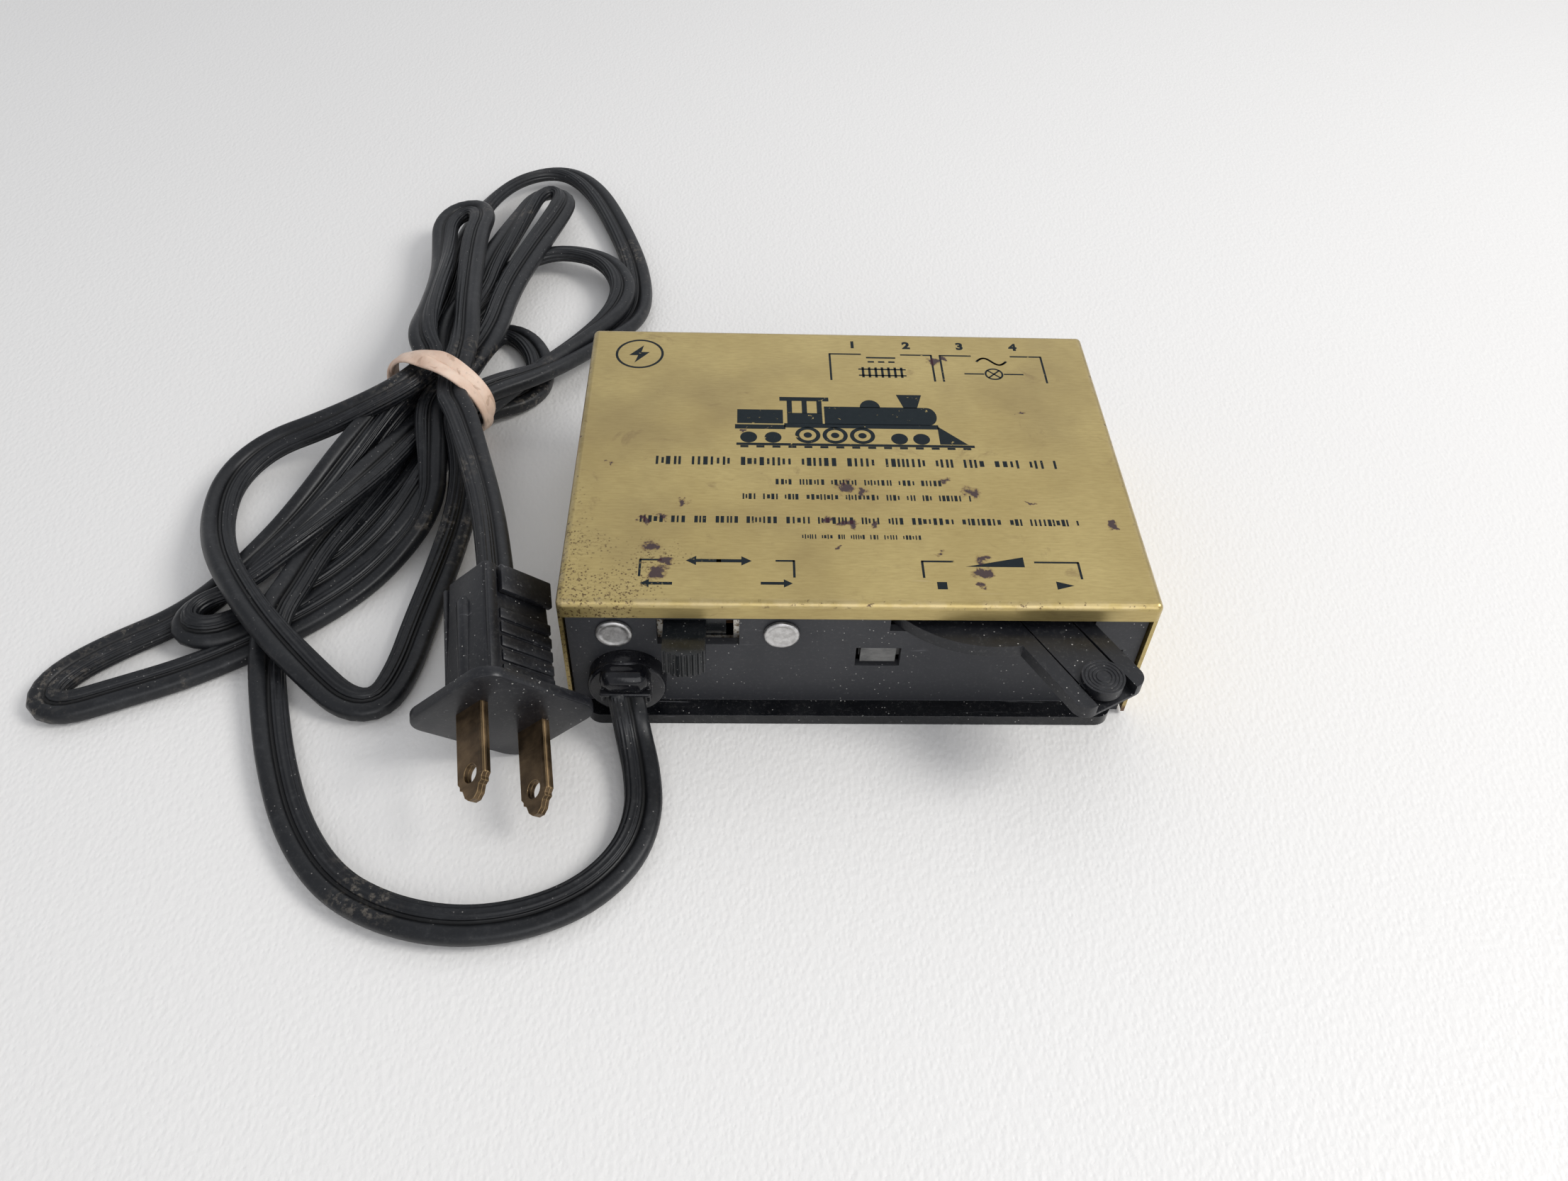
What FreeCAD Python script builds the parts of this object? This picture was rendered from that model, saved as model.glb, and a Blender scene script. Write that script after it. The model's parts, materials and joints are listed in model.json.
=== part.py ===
"""Train set controller: a small transformer pack in a gold steel lid on a black moulded tray.

Millimetres. +X runs right along the front, +Y to the back, +Z up.
The origin is the centre of the lid's footprint, on the surface that the tray stands on.
"""

import FreeCAD, Part
import math
import os
import re

import Sketcher

Vector = FreeCAD.Vector
Rotation = FreeCAD.Rotation

# Driving dimensions: alias, value in millimetres or degrees.
DIMENSIONS = [
    ("case_w", 101.6), ("case_d", 77.0), ("case_tall", 30.0),
    ("sheet_gauge", 0.6), ("lid_bend", 1.2), ("lip_drop", 3.6), ("lid_foot", 0.8),
    ("tray_w", 99.6), ("tray_d", 73.4), ("floor_gauge", 2.4), ("wall", 1.6), ("wall_top", 29.2),
    ("toe_w", 95.5), ("toe_out", 3.7), ("toe_round", 3.0),
    ("gap", 0.05), ("ear_half", 8.0), ("ear_tall", 12.0), ("ear_z", 7.0), ("pilot_r", 1.25),
    ("lid_hole_r", 1.7), ("lid_screw_head_r", 2.8), ("lid_screw_head_tall", 1.1), ("lid_screw_r", 1.2),
    ("lid_screw_long", 3.2), ("lid_screw_bite", 3.1), ("lip_open", 0.4),
    ("switch_x", -27.45), ("switch_z", 20.9), ("switch_hole_w", 14.1), ("switch_hole_tall", 6.4),
    ("rivet_pitch", 28.6), ("rivet_shank_r", 1.6), ("rivet_head_r", 3.1), ("rivet_head_tall", 0.9),
    ("rivet_tail_r", 2.3), ("rivet_tail_tall", 0.8), ("rivet_rim", 0.55), ("rivet_dish", 0.22),
    ("insulator_gauge", 1.6), ("lug_half_w", 0.8), ("lug_half_tall", 0.3), ("lug_proud", 0.4),
    ("lug_out", 6.0), ("lug_pad_r", 1.4), ("carrier_half_w", 7.0), ("carrier_half_tall", 4.6),
    ("carrier_back", 3.2), ("bridge_half_w", 4.0), ("bridge_half_tall", 0.9), ("bridge_gauge", 1.4),
    ("bracket_w", 35.0), ("bracket_tall", 11.0), ("bracket_gauge", 0.7), ("cheek_w", 23.8),
    ("cheek_deep", 7.0), ("knob_w", 7.2), ("knob_tall", 5.5), ("knob_out", 7.8), ("knob_x", -29.7),
    ("knob_face_r", 6.0), ("rib_r", 0.28), ("lug_pitch_x", 5.0), ("lug_pitch_z", 5.0),
    ("relief_x", -40.0), ("relief_z", 9.35), ("relief_r", 6.85), ("relief_neck_r", 5.4),
    ("relief_deep", 3.3), ("hood_w", 8.2), ("hood_out", 6.6), ("hood_top", 15.0), ("hood_lip", 12.0),
    ("pivot_x", 23.0), ("pivot_y", -20.4), ("lever_z", 21.8), ("lever_gauge", 2.5),
    ("disc_r", 22.2), ("arm_w", 14.0), ("arm_reach", 37.1), ("arm_round", 2.5), ("lever_turn", 29.0),
    ("channel_w", 8.2), ("channel_floor", 0.5), ("channel_start", 8.0),
    ("tongue_w", 7.5), ("tongue_under", 1.4), ("tongue_gauge", 1.0),
    ("button_at", 33.2), ("button_r", 3.6), ("button_top", 3.4), ("button_ring_r", 0.14),
    ("shaft_r", 2.4), ("shaft_low", 9.8), ("clip_r", 4.2), ("clip_gauge", 0.8), ("clip_z", 10.2),
    ("bush_r", 4.0), ("bush_long", 5.6), ("bush_low", 11.3), ("bush_flange_r", 5.4),
    ("bush_flange_tall", 1.5), ("wiper_low", -1.9), ("wiper_gauge", 0.7), ("wiper_hub_r", 4.4),
    ("wiper_half_w", 2.0),
    ("slot_w", 35.2), ("slot_low", 21.5), ("slot_high", 25.6),
    ("window_x", 23.5), ("window_pitch", 39.1), ("window_w", 7.9), ("window_low", 12.2),
    ("window_high", 17.0), ("key_w", 6.2), ("frame_z", 13.2), ("frame_gauge", 2.2), ("key_high", 16.8),
    ("frame_w", 45.6), ("frame_back", -1.4), ("winding_r", 16.0), ("winding_half", 1.1),
    ("former_half", 0.6), ("winding_top", 19.5), ("former_spread", 50.0), ("winding_spread", 43.0),
    ("post_r", 3.0), ("post_in", 17.0), ("post_y", -6.0),
    ("core_x", -26.0), ("core_y", 4.0), ("core_z", 8.4), ("core_w", 40.0), ("core_d", 34.0),
    ("core_stack", 14.0), ("leg_w", 13.3), ("yoke", 6.65), ("bobbin_wall", 0.8),
    ("bobbin_flange_w", 26.4), ("bobbin_flange_tall", 24.4), ("primary_w", 20.4), ("secondary_w", 25.2),
    ("secondary_tall", 23.6), ("strap_gauge", 1.0), ("foot_w", 6.0), ("foot_half", 5.0),
    ("screw_r", 1.25), ("sink_r", 2.85), ("sink_deep", 1.65),
    ("terminal_x", 2.4), ("terminal_pitch", 11.1), ("terminal_z", 15.0), ("strip_gauge", 1.6),
    ("strip_w", 52.0), ("strip_tall", 12.0), ("terminal_r", 1.7), ("head_r", 3.1), ("head_tall", 2.2),
    ("washer_w", 7.4), ("washer_gauge", 0.8), ("lug_w", 7.0),
    ("stack_x", 8.0), ("stack_y", 13.0), ("stack_z", 14.5), ("plate_w", 19.0), ("plate_gauge", 0.9),
    ("plate_pitch", 4.5), ("spacer_r", 3.2), ("stack_bolt_r", 1.5), ("angle_gauge", 1.2),
    ("angle_half_w", 5.0), ("angle_long", 8.0),
    ("breaker_x", -40.0), ("breaker_y", 29.0), ("breaker_w", 13.0), ("breaker_d", 8.0),
    ("breaker_tall", 4.0), ("bimetal_half_w", 2.0), ("bimetal_rise", 5.0), ("bimetal_gauge", 0.5),
    ("bimetal_reach", 6.0),
    ("plug_x", -59.4), ("plug_y", -50.6), ("plug_z", 14.8), ("plug_heading", 8.7), ("plug_dip", 101.0),
    ("plug_roll", -45.7), ("guard_w", 25.0), ("guard_tall", 21.8), ("guard_gauge", 2.0),
    ("guard_round", 4.0), ("plug_w", 15.0), ("plug_tall", 12.3), ("plug_long", 26.7),
    ("plug_end_w", 13.2), ("plug_end_tall", 10.6), ("blade_pitch", 12.7), ("blade_w", 6.35),
    ("blade_gauge", 1.5), ("blade_out", 16.2), ("blade_root", 6.0), ("blade_hole_r", 1.6),
    ("cord_r", 2.4), ("lead_r", 0.9), ("hank_bar", 30.0),
    ("band_x", -86.0), ("band_y", 41.0), ("band_z", 10.4), ("band_turn", -28.6), ("band_half_w", 13.4),
    ("band_half_tall", 10.2), ("band_gauge", 1.2), ("band_w", 4.6),
]
ALIASES = {alias for alias, _ in DIMENSIONS}
RULE_WORD = re.compile(r"[a-z_]+[a-z_0-9]*")

doc = FreeCAD.newDocument("train_set_controller")
sheet = doc.addObject("Spreadsheet::Sheet", "dims")
for line, (alias, value) in enumerate(DIMENSIONS, start=1):
    sheet.set(f"A{line}", alias)
    sheet.set(f"B{line}", str(value))
    sheet.setAlias(f"B{line}", alias)
scratch = doc.addObject("Spreadsheet::Sheet", "scratch")
doc.recompute()

nodes = {}


# ---------------------------------------------------------------- helpers

def size(alias):
    """A driving dimension as a number."""
    return float(sheet.get(alias))


def rule(text):
    """An expression in which each alias names its spreadsheet cell."""
    return RULE_WORD.sub(lambda m: "dims." + m.group() if m.group() in ALIASES else m.group(), str(text))


def number(text):
    """A rule's value, for the shapes that need it as a plain number."""
    scratch.set("A1", "=" + rule(text))
    scratch.recompute()
    return float(scratch.get("A1"))


def bind(thing, **rules):
    """Binds each property to its rule."""
    for prop, text in rules.items():
        thing.setExpression(prop, rule(text))


def put(thing, x="0", y="0", z="0"):
    """Binds where a thing stands."""
    for axis, text in (("x", x), ("y", y), ("z", z)):
        thing.setExpression("Placement.Base." + axis, rule(text))
    return thing


def block(name, x, y, z):
    """A box between two planes on each axis."""
    thing = doc.addObject("Part::Box", name)
    bind(
        thing,
        Length=f"({x[1]}) - ({x[0]})",
        Width=f"({y[1]}) - ({y[0]})",
        Height=f"({z[1]}) - ({z[0]})",
    )
    return put(thing, x[0], y[0], z[0])


TURNS = {
    "x": Rotation(Vector(0, 1, 0), 90),
    "y": Rotation(Vector(1, 0, 0), -90),
    "z": Rotation(),
}


def rod(name, axis, radius, length, x="0", y="0", z="0"):
    """A cylinder that starts at a point and runs along +X, +Y or +Z."""
    thing = doc.addObject("Part::Cylinder", name)
    thing.Placement = FreeCAD.Placement(Vector(), TURNS[axis])
    bind(thing, Radius=radius, Height=length)
    return put(thing, x, y, z)


def cone(name, low_radius, high_radius, length, x, y, z):
    """An upright cone."""
    thing = doc.addObject("Part::Cone", name)
    bind(thing, Radius1=low_radius, Radius2=high_radius, Height=length)
    return put(thing, x, y, z)


def ring(name, radius, thickness, x, y, z):
    """A flat-lying torus."""
    thing = doc.addObject("Part::Torus", name)
    bind(thing, Radius1=radius, Radius2=thickness)
    return put(thing, x, y, z)


def join(name, *parts):
    """One solid, or a group of separate ones."""
    thing = doc.addObject("Part::MultiFuse", name)
    thing.Shapes = list(parts)
    thing.Refine = True
    return thing


def cut(name, base, *tools):
    """The base less the tools."""
    thing = doc.addObject("Part::Cut", name)
    thing.Base = base
    thing.Tool = tools[0] if len(tools) == 1 else join(name + "_tools", *tools)
    thing.Refine = True
    return thing


def overlap(name, first, second):
    """What two solids share."""
    thing = doc.addObject("Part::MultiCommon", name)
    thing.Shapes = [first, second]
    return thing


def soften(name, base, radius, chosen):
    """Rounds the edges that the test picks."""
    doc.recompute()
    thing = doc.addObject("Part::Fillet", name)
    thing.Base = base
    picks = [n for n, edge in enumerate(base.Shape.Edges, start=1) if chosen(edge)]
    thing.Edges = [(n, radius, radius) for n in picks]
    return thing


def along(edge, axis):
    """Whether an edge is straight and runs along an axis."""
    if edge.Curve.TypeId != "Part::GeomLine":
        return False
    return abs(abs(edge.Curve.Direction.dot(axis)) - 1) < 1e-6


def node(name, thing):
    """Names a finished piece."""
    thing.Label = name
    nodes[name] = thing
    return thing


def shape_node(name, shape):
    """A piece whose form comes from Part's own functions."""
    return node(name, shape_object(name, shape))


def shape_object(name, shape):
    """A document object that holds a finished shape."""
    thing = doc.addObject("Part::Feature", name)
    thing.Shape = shape
    return thing


def origin_plane(body, role):
    """One of a body's own origin planes."""
    return next(f for f in body.Origin.OriginFeatures if f.Role == role)


def new_sketch(body, name, height="0"):
    """A sketch on the body's XY plane, raised by a rule."""
    sketch = body.newObject("Sketcher::SketchObject", name)
    sketch.AttachmentSupport = (origin_plane(body, "XY_Plane"), [""])
    sketch.MapMode = "FlatFace"
    sketch.setExpression("AttachmentOffset.Base.z", rule(height))
    return sketch


def draw_rectangle(sketch, x, y):
    """A rectangle whose four sides are bound to rules."""
    x0, x1, y0, y1 = (number(text) for text in (*x, *y))
    corners = [Vector(x0, y0), Vector(x1, y0), Vector(x1, y1), Vector(x0, y1)]
    first = sketch.GeometryCount
    for n in range(4):
        sketch.addGeometry(Part.LineSegment(corners[n], corners[(n + 1) % 4]), False)
    for n in range(4):
        sketch.addConstraint(Sketcher.Constraint("Coincident", first + n, 2, first + (n + 1) % 4, 1))
    for n in (0, 2):
        sketch.addConstraint(Sketcher.Constraint("Horizontal", first + n))
        sketch.addConstraint(Sketcher.Constraint("Vertical", first + n + 1))
    sides = (("DistanceX", 0, x[0]), ("DistanceY", 0, y[0]), ("DistanceX", 2, x[1]), ("DistanceY", 2, y[1]))
    for kind, side, text in sides:
        place = Sketcher.Constraint(kind, -1, 1, first + side, 1, number(text))
        index = sketch.addConstraint(place)
        sketch.setExpression(f"Constraints[{index}]", rule(text))


def draw_circle(sketch, radius, x="0", y="0"):
    """A circle bound to its radius and centre."""
    centre = Vector(number(x), number(y))
    first = sketch.addGeometry(Part.Circle(centre, Vector(0, 0, 1), number(radius)), False)
    index = sketch.addConstraint(Sketcher.Constraint("Radius", first, number(radius)))
    sketch.setExpression(f"Constraints[{index}]", rule(radius))
    for kind, text in (("DistanceX", x), ("DistanceY", y)):
        if number(text) == 0:
            on_axis = -2 if kind == "DistanceX" else -1
            sketch.addConstraint(Sketcher.Constraint("PointOnObject", first, 3, on_axis))
            continue
        index = sketch.addConstraint(Sketcher.Constraint(kind, -1, 1, first, 3, number(text)))
        sketch.setExpression(f"Constraints[{index}]", rule(text))


def pad(body, sketch, length):
    """Raises a sketch by a rule."""
    thing = body.newObject("PartDesign::Pad", sketch.Name + "_pad")
    thing.Profile = sketch
    thing.setExpression("Length", rule(length))
    doc.recompute()
    return thing


def pocket(body, sketch, length, upward=False):
    """Cuts down from a sketch, or up from it, and makes sure that something went."""
    before = body.Shape.Volume
    thing = body.newObject("PartDesign::Pocket", sketch.Name + "_pocket")
    thing.Profile = sketch
    thing.Reversed = upward
    thing.setExpression("Length", rule(length))
    doc.recompute()
    if body.Shape.Volume >= before:
        raise RuntimeError(sketch.Name + " cut nothing")
    return thing


# ---------------------------------------------------------------- lid and tray

def lid():
    """The bent sheet lid: top, two side walls, and a lip folded down at front and back."""
    body = doc.addObject("PartDesign::Body", "lid_body")
    plan = new_sketch(body, "lid_plan", "lid_foot")
    draw_rectangle(plan, ("-case_w / 2", "case_w / 2"), ("-case_d / 2", "case_d / 2"))
    shell = pad(body, plan, "case_tall - lid_foot")
    bends = body.newObject("PartDesign::Fillet", "lid_bends")
    top = size("case_tall")
    up = Vector(0, 0, 1)
    picks = [
        f"Edge{n}"
        for n, edge in enumerate(shell.Shape.Edges, start=1)
        if along(edge, up) or abs(edge.CenterOfMass.z - top) < 1e-6
    ]
    bends.Base = (shell, picks)
    bends.setExpression("Radius", rule("lid_bend"))
    doc.recompute()
    hollow = body.newObject("PartDesign::Thickness", "lid_hollow")
    foot = [
        f"Face{n}"
        for n, face in enumerate(bends.Shape.Faces, start=1)
        if abs(face.CenterOfMass.z - size("lid_foot")) < 1e-6
    ]
    hollow.Base = (bends, foot)
    hollow.setExpression("Value", rule("sheet_gauge"))
    hollow.Reversed = True
    doc.recompute()
    front = new_sketch(body, "lid_front_opening", "case_tall - lip_drop")
    draw_rectangle(front, ("-case_w", "case_w"), ("-case_d", "-case_d / 2 + lid_bend - lip_open"))
    pocket(body, front, "case_tall")
    back = new_sketch(body, "lid_back_opening", "case_tall - lip_drop")
    draw_rectangle(back, ("-case_w", "case_w"), ("case_d / 2 - lid_bend + lip_open", "case_d"))
    pocket(body, back, "case_tall")
    holes = rod("lid_screw_holes", "x", "lid_hole_r", "case_w + 2", x="-case_w / 2 - 1", z="ear_z")
    node("lid", cut("lid_drilled", body, holes))


def tray():
    """The black moulding: floor with a toe in front, front and rear walls, side ears and posts."""
    half_w = "tray_w / 2"
    front = "-tray_d / 2"
    floor = block("tray_floor", ("-tray_w / 2", half_w), (front, "tray_d / 2"), ("0", "floor_gauge"))
    toe_y = f"{front} - toe_out"
    toe_mid = block(
        "toe_mid",
        ("-toe_w / 2 + toe_round", "toe_w / 2 - toe_round"), (toe_y, front), ("0", "floor_gauge"),
    )
    toe_back = block(
        "toe_back",
        ("-toe_w / 2", "toe_w / 2"), (f"{toe_y} + toe_round", f"{front} + 1"), ("0", "floor_gauge"),
    )
    corners = [
        rod(f"toe_corner_{side}", "z", "toe_round", "floor_gauge", x=x, y=f"{toe_y} + toe_round")
        for side, x in (("left", "-toe_w / 2 + toe_round"), ("right", "toe_w / 2 - toe_round"))
    ]
    front_wall = block("front_wall", ("-tray_w / 2", half_w), (front, f"{front} + wall"), ("0", "wall_top"))
    rear_wall = block(
        "rear_wall", ("-tray_w / 2", half_w), ("tray_d / 2 - wall", "tray_d / 2"), ("0", "wall_top")
    )
    ears = [
        block(name, across, ("-ear_half", "ear_half"), ("0", "ear_tall"))
        for name, across in (
            ("left_ear", ("-tray_w / 2", "-tray_w / 2 + wall")),
            ("right_ear", ("tray_w / 2 - wall", half_w)),
        )
    ]
    posts = [
        rod(f"post_{n}", "z", "post_r", "frame_z - gap", x=f"pivot_x + ({n}) * post_in", y="post_y")
        for n in (-1, 1)
    ]
    solid = join("tray_solid", floor, toe_mid, toe_back, *corners, front_wall, rear_wall, *ears, *posts)
    node("base_tray", cut("tray_cut", solid, *tray_openings()))


def tray_openings():
    """Every hole and slot in the tray."""
    through = ("-tray_d / 2 - 1", "-tray_d / 2 + wall + 1")
    switch_hole = block(
        "switch_hole",
        ("switch_x - switch_hole_w / 2", "switch_x + switch_hole_w / 2"),
        through,
        ("switch_z - switch_hole_tall / 2", "switch_z + switch_hole_tall / 2"),
    )
    slot = block(
        "lever_slot", ("pivot_x - slot_w / 2", "pivot_x + slot_w / 2"), through, ("slot_low", "slot_high")
    )
    windows = [
        block(
            f"window_{n}",
            (
                f"window_x + ({n}) * window_pitch / 2 - window_w / 2",
                f"window_x + ({n}) * window_pitch / 2 + window_w / 2",
            ),
            through,
            ("window_low", "window_high"),
        )
        for n in (-1, 1)
    ]
    rivets = [
        rod(f"rivet_hole_{n}", "y", "rivet_shank_r + gap", "wall + 2", y="-tray_d / 2 - 1",
            x=f"switch_x + ({n}) * rivet_pitch / 2", z="switch_z")
        for n in (-1, 1)
    ]
    relief = rod("relief_hole", "y", "relief_neck_r + gap", "wall + 2", x="relief_x",
                 y="-tray_d / 2 - 1", z="relief_z")
    terminals = [
        rod(f"terminal_hole_{n}", "y", "terminal_r + 0.3", "wall + 2",
            x=f"terminal_x + {n} * terminal_pitch", y="tray_d / 2 - wall - 1", z="terminal_z")
        for n in range(4)
    ]
    strip_rivets = [
        rod(f"strip_rivet_hole_{n}", "y", "pilot_r", "wall + 2", x=strip_rivet_x(n),
            y="tray_d / 2 - wall - 1", z="terminal_z")
        for n in (-1, 1)
    ]
    ear_holes = rod("ear_holes", "x", "pilot_r", "tray_w + 2", x="-tray_w / 2 - 1", z="ear_z")
    core_screws = []
    for n in (-1, 1):
        place = core_screw_place(n)
        core_screws.append(rod(f"core_screw_hole_{n}", "z", "screw_r + gap", "floor_gauge + 2", **place))
        core_screws.append(
            cone(f"core_screw_sink_{n}", "sink_r", "screw_r + gap", "sink_deep", z="0", **place)
        )
    post_holes = [
        rod(f"post_hole_{n}", "z", "screw_r", "12", x=f"pivot_x + ({n}) * post_in", y="post_y", z="4")
        for n in (-1, 1)
    ]
    return [switch_hole, slot, *windows, *rivets, relief, *terminals, *strip_rivets, ear_holes,
            *core_screws, *post_holes]


def core_screw_place(side):
    """Where a transformer screw stands: 1 is the right one."""
    return {"x": f"core_x + ({side}) * (core_w / 2 - 3)", "y": "core_y"}


def strip_rivet_x(side):
    """Where a rivet of the terminal strip stands: 1 is the right one."""
    return f"terminal_x + 1.5 * terminal_pitch + ({side}) * (strip_w / 2 - 2.8)"


def lid_screws():
    """Two self-tapping screws, one through each side of the lid into the tray's ears."""
    parts = []
    slots = []
    left, right = "-case_w / 2", "case_w / 2"
    sides = (
        ("left", f"{left} - lid_screw_head_tall", f"{left} - 0.1", (f"{left} - 2", f"{left} - 0.6")),
        ("right", right, f"{right} - lid_screw_bite", (f"{right} + 0.6", f"{right} + 2")),
    )
    for side, head, shank, slot in sides:
        parts.append(
            rod(f"lid_screw_head_{side}", "x", "lid_screw_head_r", "lid_screw_head_tall", x=head, z="ear_z")
        )
        parts.append(
            rod(f"lid_screw_shank_{side}", "x", "lid_screw_r", "lid_screw_long", x=shank, z="ear_z")
        )
        slots.append(block(f"lid_screw_slot_{side}", slot, ("-3", "3"), ("ear_z - 0.3", "ear_z + 0.3")))
    node("lid_screws", cut("lid_screws_cut", join("lid_screws_blank", *parts), *slots))


# ---------------------------------------------------------------- direction switch

def switch():
    """The slide switch behind the front wall."""
    wall_back = "-tray_d / 2 + wall"
    face = block(
        "bracket_face",
        ("switch_x - bracket_w / 2", "switch_x + bracket_w / 2"),
        (wall_back, f"{wall_back} + bracket_gauge"),
        ("switch_z - bracket_tall / 2", "switch_z + bracket_tall / 2"),
    )
    cheeks = []
    for side, sign in (("left", -1), ("right", 1)):
        outer = f"switch_x + ({sign}) * cheek_w / 2"
        inner = f"switch_x + ({sign}) * (cheek_w / 2 - bracket_gauge)"
        spans = (outer, inner) if sign < 0 else (inner, outer)
        cheeks.append(
            block(f"cheek_{side}", spans, (wall_back, f"{wall_back} + cheek_deep"),
                  ("switch_z - bracket_tall / 2", "switch_z + bracket_tall / 2"))
        )
    window = block(
        "bracket_window", ("switch_x - 6.05", "switch_x + 6.05"), ("-tray_d / 2", "-tray_d / 2 + 4"),
        ("switch_z - knob_tall / 2 - 0.6", "switch_z + knob_tall / 2 + 0.6"),
    )
    holes = [
        rod(f"bracket_hole_{n}", "y", "rivet_shank_r + gap", "4", y="-tray_d / 2", z="switch_z",
            x=f"switch_x + ({n}) * rivet_pitch / 2")
        for n in (-1, 1)
    ]
    node("switch_bracket", cut("bracket_cut", join("bracket_blank", face, *cheeks), window, *holes))
    switch_insulator(wall_back)
    switch_rivets()
    switch_knob(wall_back)


def switch_insulator(wall_back):
    """The fibre board at the switch's back and its six riveted lugs."""
    board_y = f"{wall_back} + cheek_deep - insulator_gauge"
    board = block(
        "insulator_blank",
        ("switch_x - cheek_w / 2 + bracket_gauge", "switch_x + cheek_w / 2 - bracket_gauge"),
        (board_y, f"{board_y} + insulator_gauge"),
        ("switch_z - bracket_tall / 2", "switch_z + bracket_tall / 2"),
    )
    slots = []
    lugs = []
    for column in (-1, 0, 1):
        for row in (-1, 1):
            x = f"switch_x + ({column}) * lug_pitch_x"
            z = f"switch_z + ({row}) * lug_pitch_z / 2"
            tag = f"{column + 2}_{(row + 3) // 2}"
            across = (f"{x} - lug_half_w", f"{x} + lug_half_w")
            levels = (f"{z} - lug_half_tall", f"{z} + lug_half_tall")
            front = f"{board_y} - lug_proud"
            slots.append(block("lug_slot_" + tag, across, (f"{board_y} - 1", f"{board_y} + 3"), levels))
            lugs.append(block("lug_tail_" + tag, across, (front, f"{board_y} + lug_out"), levels))
            lugs.append(rod("lug_pad_" + tag, "y", "lug_pad_r", "lug_proud", x=x, y=front, z=z))
    node("switch_insulator", cut("insulator_cut", board, *slots))
    node("switch_lugs", join("lugs_joined", *lugs))


def switch_rivets():
    """Two aluminium rivets with a shallow dish in each head."""
    parts = []
    dishes = []
    wall_front = "-tray_d / 2"
    head_front = f"{wall_front} - rivet_head_tall"
    bracket_back = f"{wall_front} + wall + bracket_gauge"
    for n in (-1, 1):
        at = {"x": f"switch_x + ({n}) * rivet_pitch / 2", "z": "switch_z"}
        parts.append(rod(f"rivet_head_{n}", "y", "rivet_head_r", "rivet_head_tall", y=head_front, **at))
        parts.append(
            rod(f"rivet_shank_{n}", "y", "rivet_shank_r", "wall + bracket_gauge + 0.1", y=wall_front, **at)
        )
        parts.append(rod(f"rivet_tail_{n}", "y", "rivet_tail_r", "rivet_tail_tall", y=bracket_back, **at))
        dishes.append(
            rod(f"rivet_dish_{n}", "y", "rivet_head_r - rivet_rim", "rivet_dish", y=head_front, **at)
        )
    node("switch_rivets", cut("rivets_cut", join("rivets_blank", *parts), *dishes))


def switch_knob(wall_back):
    """The ribbed slider knob, its carrier behind the wall, and the bridging contacts."""
    sides = ("knob_x - knob_w / 2", "knob_x + knob_w / 2")
    levels = ("switch_z - knob_tall / 2", "switch_z + knob_tall / 2")
    front = "-tray_d / 2 - knob_out"
    stem = block("knob_stem", sides, (front, f"{wall_back} + 1.2"), levels)
    curve = rod("knob_curve", "z", "knob_face_r", "40", x="knob_x", y=f"{front} + knob_face_r")
    straight = block(
        "knob_straight", ("knob_x - 20", "knob_x + 20"), (f"{front} + knob_face_r", "0"), ("0", "40")
    )
    face = overlap("knob_face", stem, join("knob_outline", curve, straight))
    grooves = []
    for n in range(8):
        angle = math.radians(-31.5 + 9 * n)
        grooves.append(
            rod(f"knob_groove_{n + 1}", "z", "rib_r", "10",
                x=f"knob_x + knob_face_r * {math.sin(angle):.4f}",
                y=f"{front} + knob_face_r * {1 - math.cos(angle):.4f}", z="switch_z - 5")
        )
    carrier = block(
        "knob_carrier", ("knob_x - carrier_half_w", "knob_x + carrier_half_w"),
        (f"{wall_back} + bracket_gauge + 0.2", f"{wall_back} + carrier_back"),
        ("switch_z - carrier_half_tall", "switch_z + carrier_half_tall"),
    )
    node("switch_knob", join("knob_joined", cut("knob_ribbed", face, *grooves), carrier))
    contacts = []
    for n in (-1, 1):
        middle = f"switch_z + ({n}) * lug_pitch_z / 2"
        contacts.append(
            block(f"bridge_{n}", ("knob_x - bridge_half_w", "knob_x + bridge_half_w"),
                  (f"{wall_back} + carrier_back", f"{wall_back} + carrier_back + bridge_gauge"),
                  (f"{middle} - bridge_half_tall", f"{middle} + bridge_half_tall"))
        )
    node("switch_contacts", join("contacts_joined", *contacts))


# ---------------------------------------------------------------- speed lever and rheostat

def lever():
    """The lever moulding: a disc with an arm that carries a channel between two rails."""
    body = doc.addObject("PartDesign::Body", "lever_body")
    disc = new_sketch(body, "lever_disc")
    draw_circle(disc, "disc_r")
    pad(body, disc, "lever_gauge")
    arm = new_sketch(body, "lever_arm")
    draw_rectangle(arm, ("-arm_w / 2", "arm_w / 2"), ("-arm_reach", "-disc_r / 2"))
    arm_pad = pad(body, arm, "lever_gauge")
    tip = -size("arm_reach")
    up = Vector(0, 0, 1)
    corners = [
        f"Edge{n}"
        for n, edge in enumerate(arm_pad.Shape.Edges, start=1)
        if along(edge, up) and abs(edge.CenterOfMass.y - tip) < 1e-6
    ]
    rounds = body.newObject("PartDesign::Fillet", "lever_tip_rounds")
    rounds.Base = (arm_pad, corners)
    rounds.setExpression("Radius", rule("arm_round"))
    doc.recompute()
    channel = new_sketch(body, "lever_channel", "lever_gauge")
    draw_rectangle(channel, ("-channel_w / 2", "channel_w / 2"), ("-arm_reach - 1", "-channel_start"))
    pocket(body, channel, "lever_gauge - channel_floor")
    hub = new_sketch(body, "lever_hub", "lever_gauge")
    draw_circle(hub, "shaft_r + gap")
    pocket(body, hub, "lever_gauge + 1")
    node("speed_lever", on_lever(body))


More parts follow.
